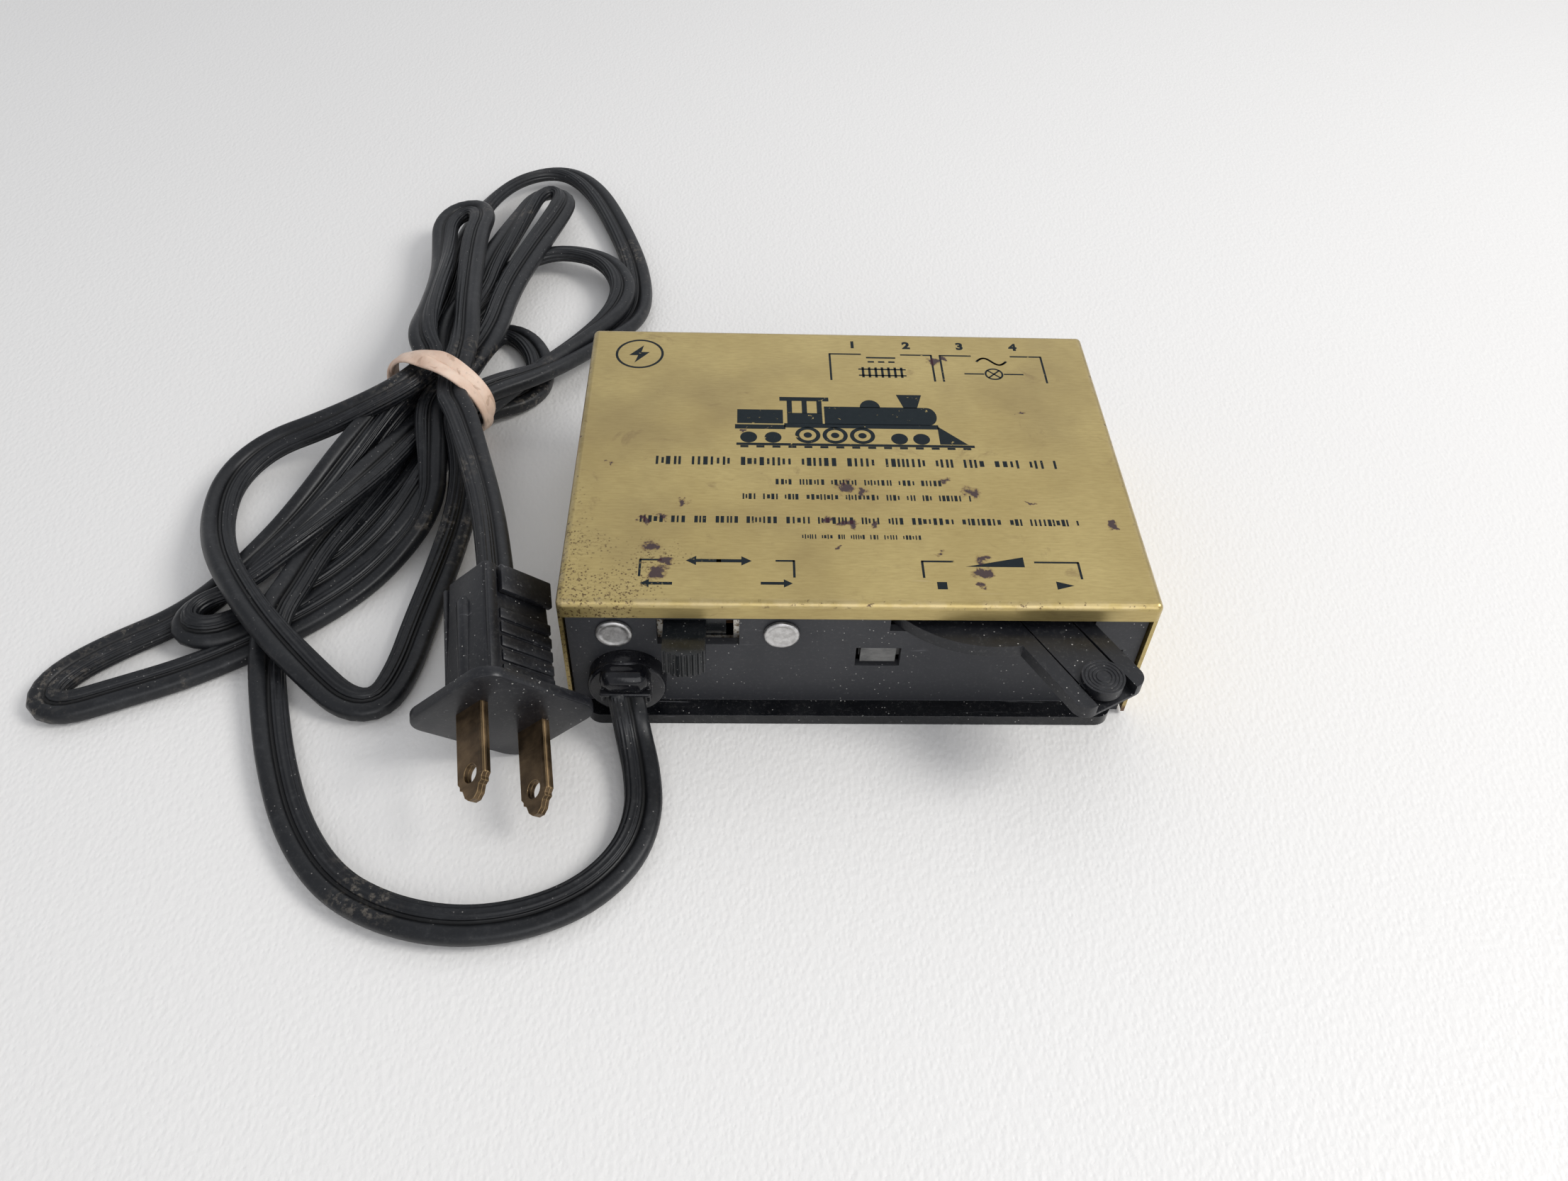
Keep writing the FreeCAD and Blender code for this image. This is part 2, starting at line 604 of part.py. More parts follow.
def on_lever(thing):
    """Stands a piece on the pivot, with its own -Y along the lever's arm."""
    put(thing, "pivot_x", "pivot_y", "lever_z")
    thing.setExpression("Placement.Rotation.Angle", rule("lever_turn"))
    return thing


def button():
    """The sprung tongue in the lever's channel, with a round ringed button at its end."""
    tongue = block(
        "tongue", ("-tongue_w / 2", "tongue_w / 2"), ("-button_at", "-channel_start - gap * 4"),
        ("tongue_under", "tongue_under + tongue_gauge"),
    )
    cap = rod("button_cap", "z", "button_r", "button_top - tongue_under", y="-button_at", z="tongue_under")
    rings = [
        ring(f"button_ring_{n}", f"button_r - {0.45 + 0.62 * n:.2f}", "button_ring_r",
             "0", "-button_at", "button_top")
        for n in range(4)
    ]
    shape = cut("button_ringed", join("button_blank", tongue, cap), *rings)
    node("lever_button", on_lever(shape))


def pivot():
    """The steel shaft under the lever, its clip, and the brass bush that it turns in."""
    at = {"x": "pivot_x", "y": "pivot_y"}
    long = "lever_z + lever_gauge - shaft_low"
    node("pivot_shaft", rod("shaft", "z", "shaft_r", long, z="shaft_low", **at))
    disc = rod("clip_disc", "z", "clip_r", "clip_gauge", z="clip_z", **at)
    hole = rod("clip_hole", "z", "shaft_r + gap / 2", "3", z="clip_z - 1", **at)
    node("pivot_clip", cut("clip_cut", disc, hole))
    seat = "frame_z + frame_gauge + gap"
    bush = join(
        "bush_blank",
        rod("bush_barrel", "z", "bush_r", "bush_long", z="bush_low", **at),
        rod("bush_flange", "z", "bush_flange_r", "bush_flange_tall", z=seat, **at),
    )
    bore = rod("bush_bore", "z", "shaft_r + gap * 1.2", "10", z="bush_low - 2", **at)
    node("pivot_bush", cut("bush_cut", bush, bore))


def wiper():
    """The springy contact arm under the lever, pointing away from the arm."""
    hub = rod("wiper_hub", "z", "wiper_hub_r", "wiper_gauge", z="wiper_low")
    arm = block("wiper_arm", ("-wiper_half_w", "wiper_half_w"), ("2", "winding_r + winding_half"),
                ("wiper_low", "wiper_low + wiper_gauge"))
    bore = rod("wiper_bore", "z", "shaft_r + gap / 2", "4", z="wiper_low - 1")
    node("wiper_arm", on_lever(cut("wiper_cut", join("wiper_blank", hub, arm), bore)))


def arc_strip(name, inner, outer, low, high, spread):
    """An upright curved strip about the pivot, centred on +Y."""
    start, end = math.radians(90 - spread), math.radians(90 + spread)
    edges = []
    for radius in (inner, outer):
        points = [
            Vector(radius * math.cos(a), radius * math.sin(a), 0) for a in (start, math.pi / 2, end)
        ]
        edges.append(Part.Arc(*points).toShape())
    ends = [Part.makeLine(edges[0].Vertexes[n].Point, edges[1].Vertexes[n].Point) for n in (0, 1)]
    face = Part.Face(Part.Wire(Part.__sortEdges__([*edges, *ends])))
    shape = face.extrude(Vector(0, 0, high - low))
    shape.translate(Vector(size("pivot_x"), size("pivot_y"), low))
    return shape_object(name, shape)


def rheostat():
    """The grey frame keyed into the front wall, the curved former and its resistance winding."""
    plate = block(
        "frame_plate", ("window_x - frame_w / 2", "window_x + frame_w / 2"),
        ("-tray_d / 2 + wall + 0.2", "frame_back"), ("frame_z", "frame_z + frame_gauge"),
    )
    keys = [
        block(
            f"frame_key_{n}",
            (
                f"window_x + ({n}) * window_pitch / 2 - key_w / 2",
                f"window_x + ({n}) * window_pitch / 2 + key_w / 2",
            ),
            ("-tray_d / 2 + 0.25", "-tray_d / 2 + wall + 1.4"), ("frame_z", "key_high"),
        )
        for n in (-1, 1)
    ]
    holes = [
        rod("frame_bore", "z", "bush_r + gap", "10", x="pivot_x", y="pivot_y", z="frame_z - 3"),
        *[
            rod(f"frame_screw_hole_{n}", "z", "screw_r + 0.2", "10", y="post_y", z="frame_z - 3",
                x=f"pivot_x + ({n}) * post_in")
            for n in (-1, 1)
        ],
    ]
    node("rheostat_frame", cut("frame_cut", join("frame_blank", plate, *keys), *holes))
    middle, half, card = size("winding_r"), size("winding_half"), size("former_half")
    gap = size("gap")
    low = size("frame_z") + size("frame_gauge") + gap
    top = size("winding_top")
    wide, wound = size("former_spread"), size("winding_spread")
    card_top = top - 0.6
    node("rheostat_former", arc_strip("former", middle - card, middle + card, low, card_top, wide))
    sleeve = arc_strip("winding_sleeve", middle - half, middle + half, low, top, wound)
    inner, outer = middle - card - gap, middle + card + gap
    core = arc_strip("winding_core", inner, outer, low - 1, card_top + gap, (wide + wound) / 2)
    node("rheostat_winding", cut("winding_cut", sleeve, core))
    screws = []
    for n in (-1, 1):
        at = {"x": f"pivot_x + ({n}) * post_in", "y": "post_y"}
        top_z = "frame_z + frame_gauge"
        screws.append(rod(f"frame_screw_head_{n}", "z", "2.4", "1.6", z=f"{top_z} + gap", **at))
        screws.append(rod(f"frame_screw_{n}", "z", "screw_r - gap", "9", z=f"{top_z} - 8.9", **at))
    node("rheostat_screws", join("frame_screws_joined", *screws))


# ---------------------------------------------------------------- transformer

def centred(name, w, d, tall, x="core_x", y="core_y", z="core_z + core_stack / 2"):
    """A box about a centre, by its three sizes."""
    spans = [
        (f"{middle} - ({side}) / 2", f"{middle} + ({side}) / 2")
        for middle, side in ((x, w), (y, d), (z, tall))
    ]
    return block(name, *spans)


def transformer():
    """The laminated core, bobbin, two windings and the steel strap with its feet."""
    body = doc.addObject("PartDesign::Body", "core_body")
    plan = new_sketch(body, "core_plan", "core_z")
    draw_rectangle(plan, ("core_x - core_w / 2", "core_x + core_w / 2"),
                   ("core_y - core_d / 2", "core_y + core_d / 2"))
    pad(body, plan, "core_stack")
    windows = new_sketch(body, "core_windows", "core_z")
    for sign in (-1, 1):
        near = f"core_x + ({sign}) * leg_w / 2"
        far = f"core_x + ({sign}) * (core_w / 2 - yoke)"
        spans = (far, near) if sign < 0 else (near, far)
        draw_rectangle(windows, spans, ("core_y - core_d / 2 + yoke", "core_y + core_d / 2 - yoke"))
    pocket(body, windows, "core_stack", upward=True)
    node("transformer_core", body)
    bobbin()
    strap()


def bobbin():
    """The bobbin round the core's middle leg, and the windings on it."""
    inside = ("leg_w + 2 * gap", "core_stack + 2 * gap")
    tube = ("leg_w + 2 * gap + 2 * bobbin_wall", "core_stack + 2 * gap + 2 * bobbin_wall")
    long = "core_d - 2 * yoke - 0.2"
    barrel = centred("bobbin_barrel", tube[0], long, tube[1])
    flanges = [
        centred(f"bobbin_flange_{n}", "bobbin_flange_w", "bobbin_wall", "bobbin_flange_tall",
                y=f"core_y + ({n}) * (({long}) / 2 - bobbin_wall / 2)")
        for n in (-1, 1)
    ]
    bore = centred("bobbin_bore", inside[0], "core_d", inside[1])
    node("bobbin", cut("bobbin_cut", join("bobbin_blank", barrel, *flanges), bore))
    wound = f"{long} - 2 * bobbin_wall - 0.2"
    primary = centred("primary_blank", "primary_w", wound, "primary_w")
    clear = centred("primary_bore", f"{tube[0]} + 2 * gap", "core_d", f"{tube[1]} + 2 * gap")
    node("primary_winding", cut("primary_cut", primary, clear))
    secondary = centred("secondary_blank", "secondary_w", wound, "secondary_tall")
    clear = centred("secondary_bore", "primary_w + 2 * gap", "core_d", "primary_w + 2 * gap")
    node("secondary_winding", cut("secondary_cut", secondary, clear))


def strap():
    """The steel strap round the core, its two feet, and the screws up through the floor."""
    outer = centred("strap_outer", "core_w + 2 * (gap + strap_gauge)", "core_d + 2 * (gap + strap_gauge)",
                    "core_stack")
    inner = centred("strap_inner", "core_w + 2 * gap", "core_d + 2 * gap", "core_stack + 2")
    parts = [cut("strap_band", outer, inner)]
    holes = []
    screws = []
    for sign in (-1, 1):
        edge = f"core_x + ({sign}) * (core_w / 2 + gap + strap_gauge)"
        step = f"core_x + ({sign}) * (core_w / 2 + gap)"
        toe = f"core_x + ({sign}) * (core_w / 2 - foot_w)"
        leg = (edge, step) if sign < 0 else (step, edge)
        foot = (edge, toe) if sign < 0 else (toe, edge)
        across = ("core_y - foot_half", "core_y + foot_half")
        low = "floor_gauge + gap"
        parts.append(block(f"strap_leg_{sign}", leg, across, (low, "core_z + 1")))
        parts.append(block(f"strap_foot_{sign}", foot, across, (low, f"{low} + strap_gauge")))
        place = core_screw_place(sign)
        holes.append(rod(f"strap_hole_{sign}", "z", "screw_r + gap", "4", z="1", **place))
        screws.append(cone(f"core_screw_head_{sign}", "sink_r - 0.15", "screw_r", "1.5", z="0.1", **place))
        screws.append(rod(f"core_screw_{sign}", "z", "screw_r", "5.5", z="0.6", **place))
    node("transformer_strap", cut("strap_cut", join("strap_blank", *parts), *holes))
    node("transformer_screws", join("core_screws_joined", *screws))


# ---------------------------------------------------------------- rectifier, breaker and terminals

def rectifier():
    """A stack of square rectifier plates on a bolt, held by an angle bracket."""
    plates = []
    spacers = []
    for n in range(5):
        x = f"stack_x + {n} * plate_pitch"
        plates.append(
            block(f"stack_plate_{n + 1}", (x, f"{x} + plate_gauge"),
                  ("stack_y - plate_w / 2", "stack_y + plate_w / 2"),
                  ("stack_z - plate_w / 2", "stack_z + plate_w / 2"))
        )
        if n < 4:
            spacers.append(rod(f"stack_spacer_{n + 1}", "x", "spacer_r", "plate_pitch - plate_gauge",
                               x=f"{x} + plate_gauge", y="stack_y", z="stack_z"))
    at = {"y": "stack_y", "z": "stack_z"}
    bore = rod("plate_bore", "x", "stack_bolt_r + gap", "40", x="stack_x - 10", **at)
    node("rectifier_plates", cut("plates_cut", join("plates_joined", *plates), bore))
    bore = rod("spacer_bore", "x", "stack_bolt_r + gap", "40", x="stack_x - 10", **at)
    node("rectifier_spacers", cut("spacers_cut", join("spacers_joined", *spacers), bore))
    end = "stack_x + 4 * plate_pitch + plate_gauge"
    across = ("stack_y - angle_half_w", "stack_y + angle_half_w")
    upright = block("angle_upright", (end, f"{end} + angle_gauge"), across, ("floor_gauge", "stack_z + 5"))
    foot = block("angle_foot", (end, f"{end} + angle_long"), across,
                 ("floor_gauge", "floor_gauge + angle_gauge"))
    bore = rod("angle_bore", "x", "stack_bolt_r + gap", "6", x=f"{end} - 2", **at)
    node("rectifier_bracket", cut("angle_cut", join("angle_blank", upright, foot), bore))
    bolt = [
        rod("stack_bolt_head", "x", "2.6", "1.8", x="stack_x - 1.8", **at),
        rod("stack_bolt", "x", "stack_bolt_r", f"{end} + 5 - stack_x", x="stack_x", **at),
        rod("stack_nut", "x", "2.9", "2.2", x=f"{end} + angle_gauge", **at),
    ]
    node("rectifier_bolt", join("stack_bolt_joined", *bolt))


def breaker():
    """The thermal cut-out: a moulded block, a bimetal strip and its fixed contact."""
    base = centred("breaker_blank", "breaker_w", "breaker_d", "breaker_tall", x="breaker_x",
                   y="breaker_y", z="floor_gauge + breaker_tall / 2")
    node("breaker_base", base)
    top = "floor_gauge + breaker_tall"
    tip = f"{top} + bimetal_rise"
    across = ("breaker_y - bimetal_half_w", "breaker_y + bimetal_half_w")
    back = "breaker_x - bimetal_reach"
    foot = block("bimetal_foot", (back, f"{back} + 1.2"), across, (top, tip))
    blade = block("bimetal_blade", (back, "breaker_x + 5.5"), across, (f"{tip} - bimetal_gauge", tip))
    node("breaker_bimetal", join("bimetal_joined", foot, blade))
    post_tall = "bimetal_rise - bimetal_gauge - 0.2"
    post = rod("contact_post", "z", "1.5", post_tall, x="breaker_x + 4", y="breaker_y", z=top)
    node("breaker_contact", post)


def terminals():
    """The fibre strip on the rear wall with four screws, captive washers and lugs."""
    wall_y = "tray_d / 2"
    middle = "terminal_x + 1.5 * terminal_pitch"
    strip_y = f"{wall_y} + strip_gauge"
    board = block("strip_board", (f"{middle} - strip_w / 2", f"{middle} + strip_w / 2"), (wall_y, strip_y),
                  ("terminal_z - strip_tall / 2", "terminal_z + strip_tall / 2"))
    holes = []
    lugs = []
    for n in range(4):
        at = {"x": f"terminal_x + {n} * terminal_pitch", "z": "terminal_z"}
        holes.append(rod(f"strip_hole_{n}", "y", "terminal_r + gap", "6", y=f"{wall_y} - 1", **at))
        lugs.append(terminal_lug(n, at))
        node(f"terminal_washer_{n + 1}", terminal_washer(n, at, strip_y))
        node(f"terminal_screw_{n + 1}", terminal_screw(n, at, strip_y))
    rivets = []
    wall_in = "tray_d / 2 - wall"
    for n in (-1, 1):
        at = {"x": strip_rivet_x(n), "z": "terminal_z"}
        holes.append(rod(f"strip_rivet_bore_{n}", "y", "pilot_r", "6", y=f"{wall_y} - 1", **at))
        rivets.append(rod(f"strip_rivet_head_{n}", "y", "2.2", "0.7", y=strip_y, **at))
        shank = rod(f"strip_rivet_{n}", "y", "pilot_r - gap", "strip_gauge + wall + 0.2",
                    y=f"{wall_in} - 0.1", **at)
        rivets.append(shank)
        rivets.append(rod(f"strip_rivet_tail_{n}", "y", "2", "0.6", y=f"{wall_in} - 0.6", **at))
    node("terminal_strip", cut("strip_cut", board, *holes))
    node("strip_rivets", join("strip_rivets_joined", *rivets))
    node("terminal_lugs", join("lugs_group", *lugs))


def terminal_lug(n, at):
    """A lug inside the rear wall, with a tail to solder a lead to."""
    back = "tray_d / 2 - wall"
    x = at["x"]
    plate = block(f"lug_plate_{n}", (f"{x} - lug_w / 2", f"{x} + lug_w / 2"), (f"{back} - 1", back),
                  ("terminal_z - 4", "terminal_z + 4"))
    tail = block(f"lug_tail_{n}", (f"{x} - 1.5", f"{x} + 1.5"), (f"{back} - 5", back),
                 ("terminal_z + 4", "terminal_z + 4.8"))
    bore = rod(f"lug_bore_{n}", "y", "terminal_r + gap", "4", y=f"{back} - 3", **at)
    return cut(f"lug_{n}", join(f"lug_blank_{n}", plate, tail), bore)


def terminal_washer(n, at, strip_y):
    """A square washer that stays on its screw."""
    x = at["x"]
    low = f"{strip_y} + gap"
    plate = block(f"washer_plate_{n}", (f"{x} - washer_w / 2", f"{x} + washer_w / 2"),
                  (low, f"{low} + washer_gauge"),
                  ("terminal_z - washer_w / 2", "terminal_z + washer_w / 2"))
    bore = rod(f"washer_bore_{n}", "y", "terminal_r + gap", "4", y=f"{low} - 1", **at)
    return cut(f"washer_{n}", plate, bore)


def terminal_screw(n, at, strip_y):
    """A slotted binding-head screw."""
    under = f"{strip_y} + 2 * gap + washer_gauge"
    x = at["x"]
    head = rod(f"screw_head_{n}", "y", "head_r", "head_tall", y=under, **at)
    shank = rod(f"screw_shank_{n}", "y", "terminal_r", f"{under} + 0.2 - 29.6", y="29.6", **at)
    slot = block(f"screw_slot_{n}", (f"{x} - 4", f"{x} + 4"), (f"{under} + head_tall - 1", f"{under} + 5"),
                 ("terminal_z - 0.45", "terminal_z + 0.45"))
    return cut(f"screw_{n}", join(f"screw_blank_{n}", head, shank), slot)


# ---------------------------------------------------------------- strain relief, cord and plug

def strain_relief():
    """The round bushing in the front wall, with the hood that turns the cord down."""
    front = "-tray_d / 2"
    at = {"x": "relief_x", "z": "relief_z"}
    disc = rod("relief_disc", "y", "relief_r", "relief_deep", y=f"{front} - relief_deep", **at)
    neck = rod("relief_neck", "y", "relief_neck_r", "wall + 2.4", y=front, **at)
    hood = block("relief_hood_block", ("relief_x - hood_w / 2", "relief_x + hood_w / 2"),
                 (f"{front} - hood_out", f"{front} - relief_deep + 0.5"), ("relief_z - 1.2", "hood_top"))
    dome = soften("relief_hood", hood, 2.6, hood_edge)
    outlet = block("relief_outlet", ("relief_x - 3.4", "relief_x + 3.4"),
                   (f"{front} - relief_deep - 2.9", f"{front} - relief_deep"), ("0", "hood_lip"))
    lip = block("relief_lip", ("relief_x - 10", "relief_x + 10"),
                (f"{front} - hood_out - 1", f"{front} - relief_deep"), ("0", "hood_lip - 0.4"))
    node("strain_relief", cut("relief_cut", join("relief_blank", disc, neck, dome), outlet, lip))


def hood_edge(edge):
    """The hood's two front uprights and its top front edge."""
    middle = edge.CenterOfMass
    front = -size("tray_d") / 2 - size("hood_out")
    return abs(middle.y - front) < 1e-6 and middle.z > size("relief_z")


def rounded_path(points, label):
    """Straight runs joined by tangent arcs, each as large as its two runs allow."""
    edges = []
    start = points[0]
    radii = []
    for before, corner, after in zip(points, points[1:], points[2:]):
        inward, outward = corner - before, after - corner
        reach = 0.45 * min(inward.Length, outward.Length)
        turn = inward.getAngle(outward)
        radius = reach / math.tan(turn / 2)
        radii.append(round(radius, 1))
        enter = corner - inward.normalize() * reach
        leave = corner + outward.normalize() * reach
        toward = (outward - inward).normalize()
        middle = corner + toward * (radius / math.cos(turn / 2) - radius)
        edges.append(Part.LineSegment(start, enter).toShape())
        edges.append(Part.Arc(enter, middle, leave).toShape())
        start = leave
    edges.append(Part.LineSegment(start, points[-1]).toShape())
    print(label, "radii", radii)
    return Part.Wire(edges)


def tube(points, radius, label):
    """A round tube along a rounded path, with its volume checked."""
    path = rounded_path([Vector(*p) for p in points], label)
    direction = path.Edges[0].tangentAt(path.Edges[0].FirstParameter)
    profile = Part.Wire(Part.makeCircle(radius, path.Edges[0].Vertexes[0].Point, direction))
    shape = path.makePipeShell([profile], True, False)
    expected = math.pi * radius ** 2 * path.Length
    print(label, "length", round(path.Length, 1), "volume ratio", round(shape.Volume / expected, 4))
    return shape


# The cord on the table in front, from the strain relief to the hank.
FRONT_LOOP = [
    (-40.0, -41.6, 11.6), (-39.9, -41.9, 8.4), (-39.4, -43.4, 5.2), (-38.4, -46.9, 3.0),
    (-37.0, -52.4, 2.4), (-36.2, -60.8, 2.4), (-38.6, -70.1, 2.4), (-45.0, -77.9, 2.4),
    (-54.2, -82.2, 2.4), (-64.6, -83.2, 2.4), (-75.4, -80.6, 2.4), (-85.4, -74.4, 2.4),
    (-93.6, -64.2, 2.4), (-99.6, -51.6, 2.4), (-104.2, -38.8, 2.4), (-107.4, -27.2, 2.4),
]

# The stiff lead from the hank to the plug's end.
PLUG_LEAD = [
    (-82.6, 37.0, 13.8), (-78.8, 26.6, 14.0), (-74.4, 14.6, 15.2), (-69.8, 1.6, 16.8), (-66.2, -11.4, 18.2),
    (-63.4, -24.5, 19.9),
]
# Each lobe of the hank: two circles (x, y, radius) and how tall the loops stand there.
LOBES = [
    ((-96.0, 22.0, 13.0), (-108.0, 8.0, 20.0), 7.0),
    ((-108.0, 8.0, 20.0), (-91.0, -25.0, 13.5), 7.0),
    ((-104.0, 4.0, 15.0), (-139.0, -33.0, 8.5), 9.0),
    ((-92.0, 68.0, 10.0), (-95.0, 124.0, 9.0), 20.0),
    ((-82.0, 66.0, 12.0), (-66.0, 92.0, 19.0), 9.0),
    ((-66.0, 92.0, 19.0), (-71.0, 129.0, 27.0), 9.0),
]


def lobe(first, second, tall):
    """A slab whose outline wraps two circles."""
    (x1, y1, r1), (x2, y2, r2) = first, second
    a, b = Vector(x1, y1, 0), Vector(x2, y2, 0)
    way = (b - a).normalize()
    side = Vector(-way.y, way.x, 0)
    lean = (r1 - r2) / (b - a).Length
    flank = math.sqrt(1 - lean * lean)
    touch = [way * lean + side * flank, way * lean - side * flank]
    edges = [
        Part.makeLine(a + touch[0] * r1, b + touch[0] * r2),
        Part.Arc(b + touch[0] * r2, b + way * r2, b + touch[1] * r2).toShape(),
        Part.makeLine(b + touch[1] * r2, a + touch[1] * r1),
        Part.Arc(a + touch[1] * r1, a - way * r1, a + touch[0] * r1).toShape(),
    ]
    return Part.Face(Part.Wire(edges)).extrude(Vector(0, 0, tall))


def waist_solid(half_w, half_tall, long):
    """An elliptical bar through the rubber band, along the hank."""
    ellipse = Part.Ellipse(Vector(), half_w, half_tall).toShape()
    bar = Part.Face(Part.Wire(ellipse)).extrude(Vector(0, 0, long))
    bar.translate(Vector(0, 0, -long / 2))
    turn = Rotation(Vector(0, 0, 1), size("band_turn")) * Rotation(Vector(1, 0, 0), 90)
    middle = Vector(size("band_x"), size("band_y"), size("band_z"))
    bar.Placement = FreeCAD.Placement(middle, turn).multiply(bar.Placement)
    return bar


def cord():
    """The free cord's plain solids and the rubber band round its hank."""
    shape_node("cord_front_loop", tube(FRONT_LOOP, size("cord_r"), "front loop"))
    shape_node("cord_plug_lead", tube(PLUG_LEAD, size("cord_r"), "plug lead"))
    gap = size("gap")
    band = size("band_gauge")
    half_w = size("band_half_w") - band - gap
    half_tall = size("band_half_tall") - band - gap
    hank = waist_solid(half_w, half_tall, size("hank_bar"))
    for first, second, tall in LOBES:
        hank = hank.fuse(lobe(first, second, tall))
    clear = waist_solid(size("band_half_w") + 20, size("band_half_tall") + 20, size("band_w") + 0.6)
    hank = hank.cut(clear.cut(waist_solid(half_w, half_tall, 40))).removeSplitter()
    shape_node("cord_hank", hank)
    outer = waist_solid(size("band_half_w"), size("band_half_tall"), size("band_w"))
    inner = waist_solid(half_w + gap, half_tall + gap, 40)
    shape_node("rubber_band", outer.cut(inner))


# The insulated leads inside the tray: from the cord to the primary, from the primary to the
# breaker, and from the secondary to the first terminal's lug.
MAINS_LEAD = [(0.0, -32.6, 9.3), (0.0, -26.0, 9.3), (8.0, -17.0, 5.8), (8.0, -8.5, 5.4)]
MAINS_LEAD_X = (-42.0, -38.0)
BREAKER_LEAD = [(-36.0, 14.4, 5.4), (-36.0, 19.2, 5.4), (-37.6, 23.6, 5.2)]
TRACK_LEAD = [
    (-22.0, 14.4, 5.4), (-22.0, 24.0, 5.6), (-11.0, 27.0, 9.0), (-3.0, 27.0, 18.0), (2.4, 28.6, 20.75),
    (2.4, 32.6, 20.75),
]


def inner_leads():
    """Insulated leads inside the tray, two to a pair."""
    pairs = {
        "mains_leads": [[(x + start, y, z) for x, y, z in MAINS_LEAD] for start in MAINS_LEAD_X],
        "output_leads": [BREAKER_LEAD, TRACK_LEAD],
    }
    for name, routes in pairs.items():
        leads = [
            shape_object(f"{name}_{n}", tube(route, size("lead_r"), f"{name} {n}"))
            for n, route in enumerate(routes, start=1)
        ]
        node(name, join(name + "_joined", *leads))


def plug_turn():
    """How the plug lies: its own +Z is the way the blades point."""
    return (
        Rotation(Vector(0, 0, 1), size("plug_heading"))
        * Rotation(Vector(1, 0, 0), size("plug_dip"))
        * Rotation(Vector(0, 0, 1), size("plug_roll"))
    )


def lay_plug(thing):
    """Lays a plug piece down with the rest of the plug."""
    thing.Placement = FreeCAD.Placement(Vector(), plug_turn())
    return put(thing, "plug_x", "plug_y", "plug_z")


def blade_box(tag, sign, low, high):
    """A blade's plain bar between two levels."""
    middle = f"({sign}) * blade_pitch / 2"
    return block(f"blade_{tag}", (f"{middle} - blade_gauge / 2", f"{middle} + blade_gauge / 2"),
                 ("-blade_w / 2", "blade_w / 2"), (low, high))


BLADES = (("left", -1), ("right", 1))


def plug():
    """The moulded plug with its finger guard, and two brass blades."""
    guard = block("guard_block", ("-guard_w / 2", "guard_w / 2"), ("-guard_tall / 2", "guard_tall / 2"),
                  ("-guard_gauge", "0"))
    up = Vector(0, 0, 1)
    guard = soften("guard", guard, size("guard_round"), lambda edge: along(edge, up))
    shell = doc.addObject("Part::Wedge", "plug_shell")
    bind(
        shell,
        Xmin="-plug_w / 2", Xmax="plug_w / 2", Zmin="-plug_tall / 2", Zmax="plug_tall / 2",
        X2min="-plug_end_w / 2", X2max="plug_end_w / 2", Z2min="-plug_end_tall / 2",
        Z2max="plug_end_tall / 2", Ymin="0", Ymax="plug_long - 1",
    )
    shell.Placement = FreeCAD.Placement(Vector(0, 0, -1), Rotation(Vector(1, 0, 0), -90))
    body = soften("plug_rounded", shell, 0.7, lambda edge: edge.CenterOfMass.z < -1.5)
    ribs = [
        rod(f"plug_rib_{n}", "z", "1.5", "plug_long - 6", x=f"({n}) * (plug_w / 2 - 1)", y="0.8",
            z="-plug_long + 5.5")
        for n in (-1, 1)
    ]
    grips = []
    for sign in (-1, 1):
        face = f"({sign}) * (plug_tall / 2 + 0.6)"
        for n in range(6):
            level = f"-5.2 - {2.4 * n:.1f}"
            grips.append(
                block(f"grip_{sign}_{n}", ("-4.2", "5.6"), (f"{face} - 1.15", f"{face} + 1.15"),
                      (f"{level} - 1.4", level))
            )
    sockets = [blade_box(f"socket_{tag}", sign, "-blade_root", "1") for tag, sign in BLADES]
    blank = join("plug_blank", guard, body, *ribs)
    node("plug_body", lay_plug(cut("plug_cut", blank, *grips, *sockets)))
    for tag, sign in BLADES:
        node(f"plug_blade_{tag}", lay_plug(plug_blade(tag, sign)))


def plug_blade(tag, sign):
    """A flat blade with a hole, stepped shoulders and a rounded tip."""
    middle = f"({sign}) * blade_pitch / 2"
    bar = blade_box(f"bar_{tag}", sign, "-blade_root", "blade_out - 2.2")
    nose = rod(f"blade_nose_{tag}", "x", "2.5", "blade_gauge", x=f"{middle} - blade_gauge / 2",
               z="blade_out - 2.5")
    hole = rod(f"blade_hole_{tag}", "x", "blade_hole_r", "4", x=f"{middle} - 2", z="blade_out - 4.6")
    return cut(f"blade_cut_{tag}", join(f"blade_blank_{tag}", bar, nose), hole)


# ---------------------------------------------------------------- build, check and write

def build():
    """Every subcomponent, in order."""
    lid()
    tray()
    lid_screws()
    switch()
    lever()
    button()
    pivot()
    wiper()
    rheostat()
    transformer()
    rectifier()
    breaker()
    terminals()
    strain_relief()
    cord()
    inner_leads()
    plug()
    doc.recompute()


def check():
    """Stops if any object failed to compute or any piece isn't a valid solid."""
    for thing in doc.Objects:
        if {"Invalid", "Error"} & set(thing.State):
            raise RuntimeError(f"{thing.Name} failed: {thing.State}")
    for name, thing in nodes.items():
        if thing.Shape.isNull() or not thing.Shape.isValid() or not thing.Shape.Solids:
            raise RuntimeError(name + " has no valid solid")


def write():
    """One STEP file for each piece."""
    os.makedirs("parts", exist_ok=True)
    for name, thing in nodes.items():
        thing.Shape.exportStep(f"parts/{name}.step")


build()
check()
write()
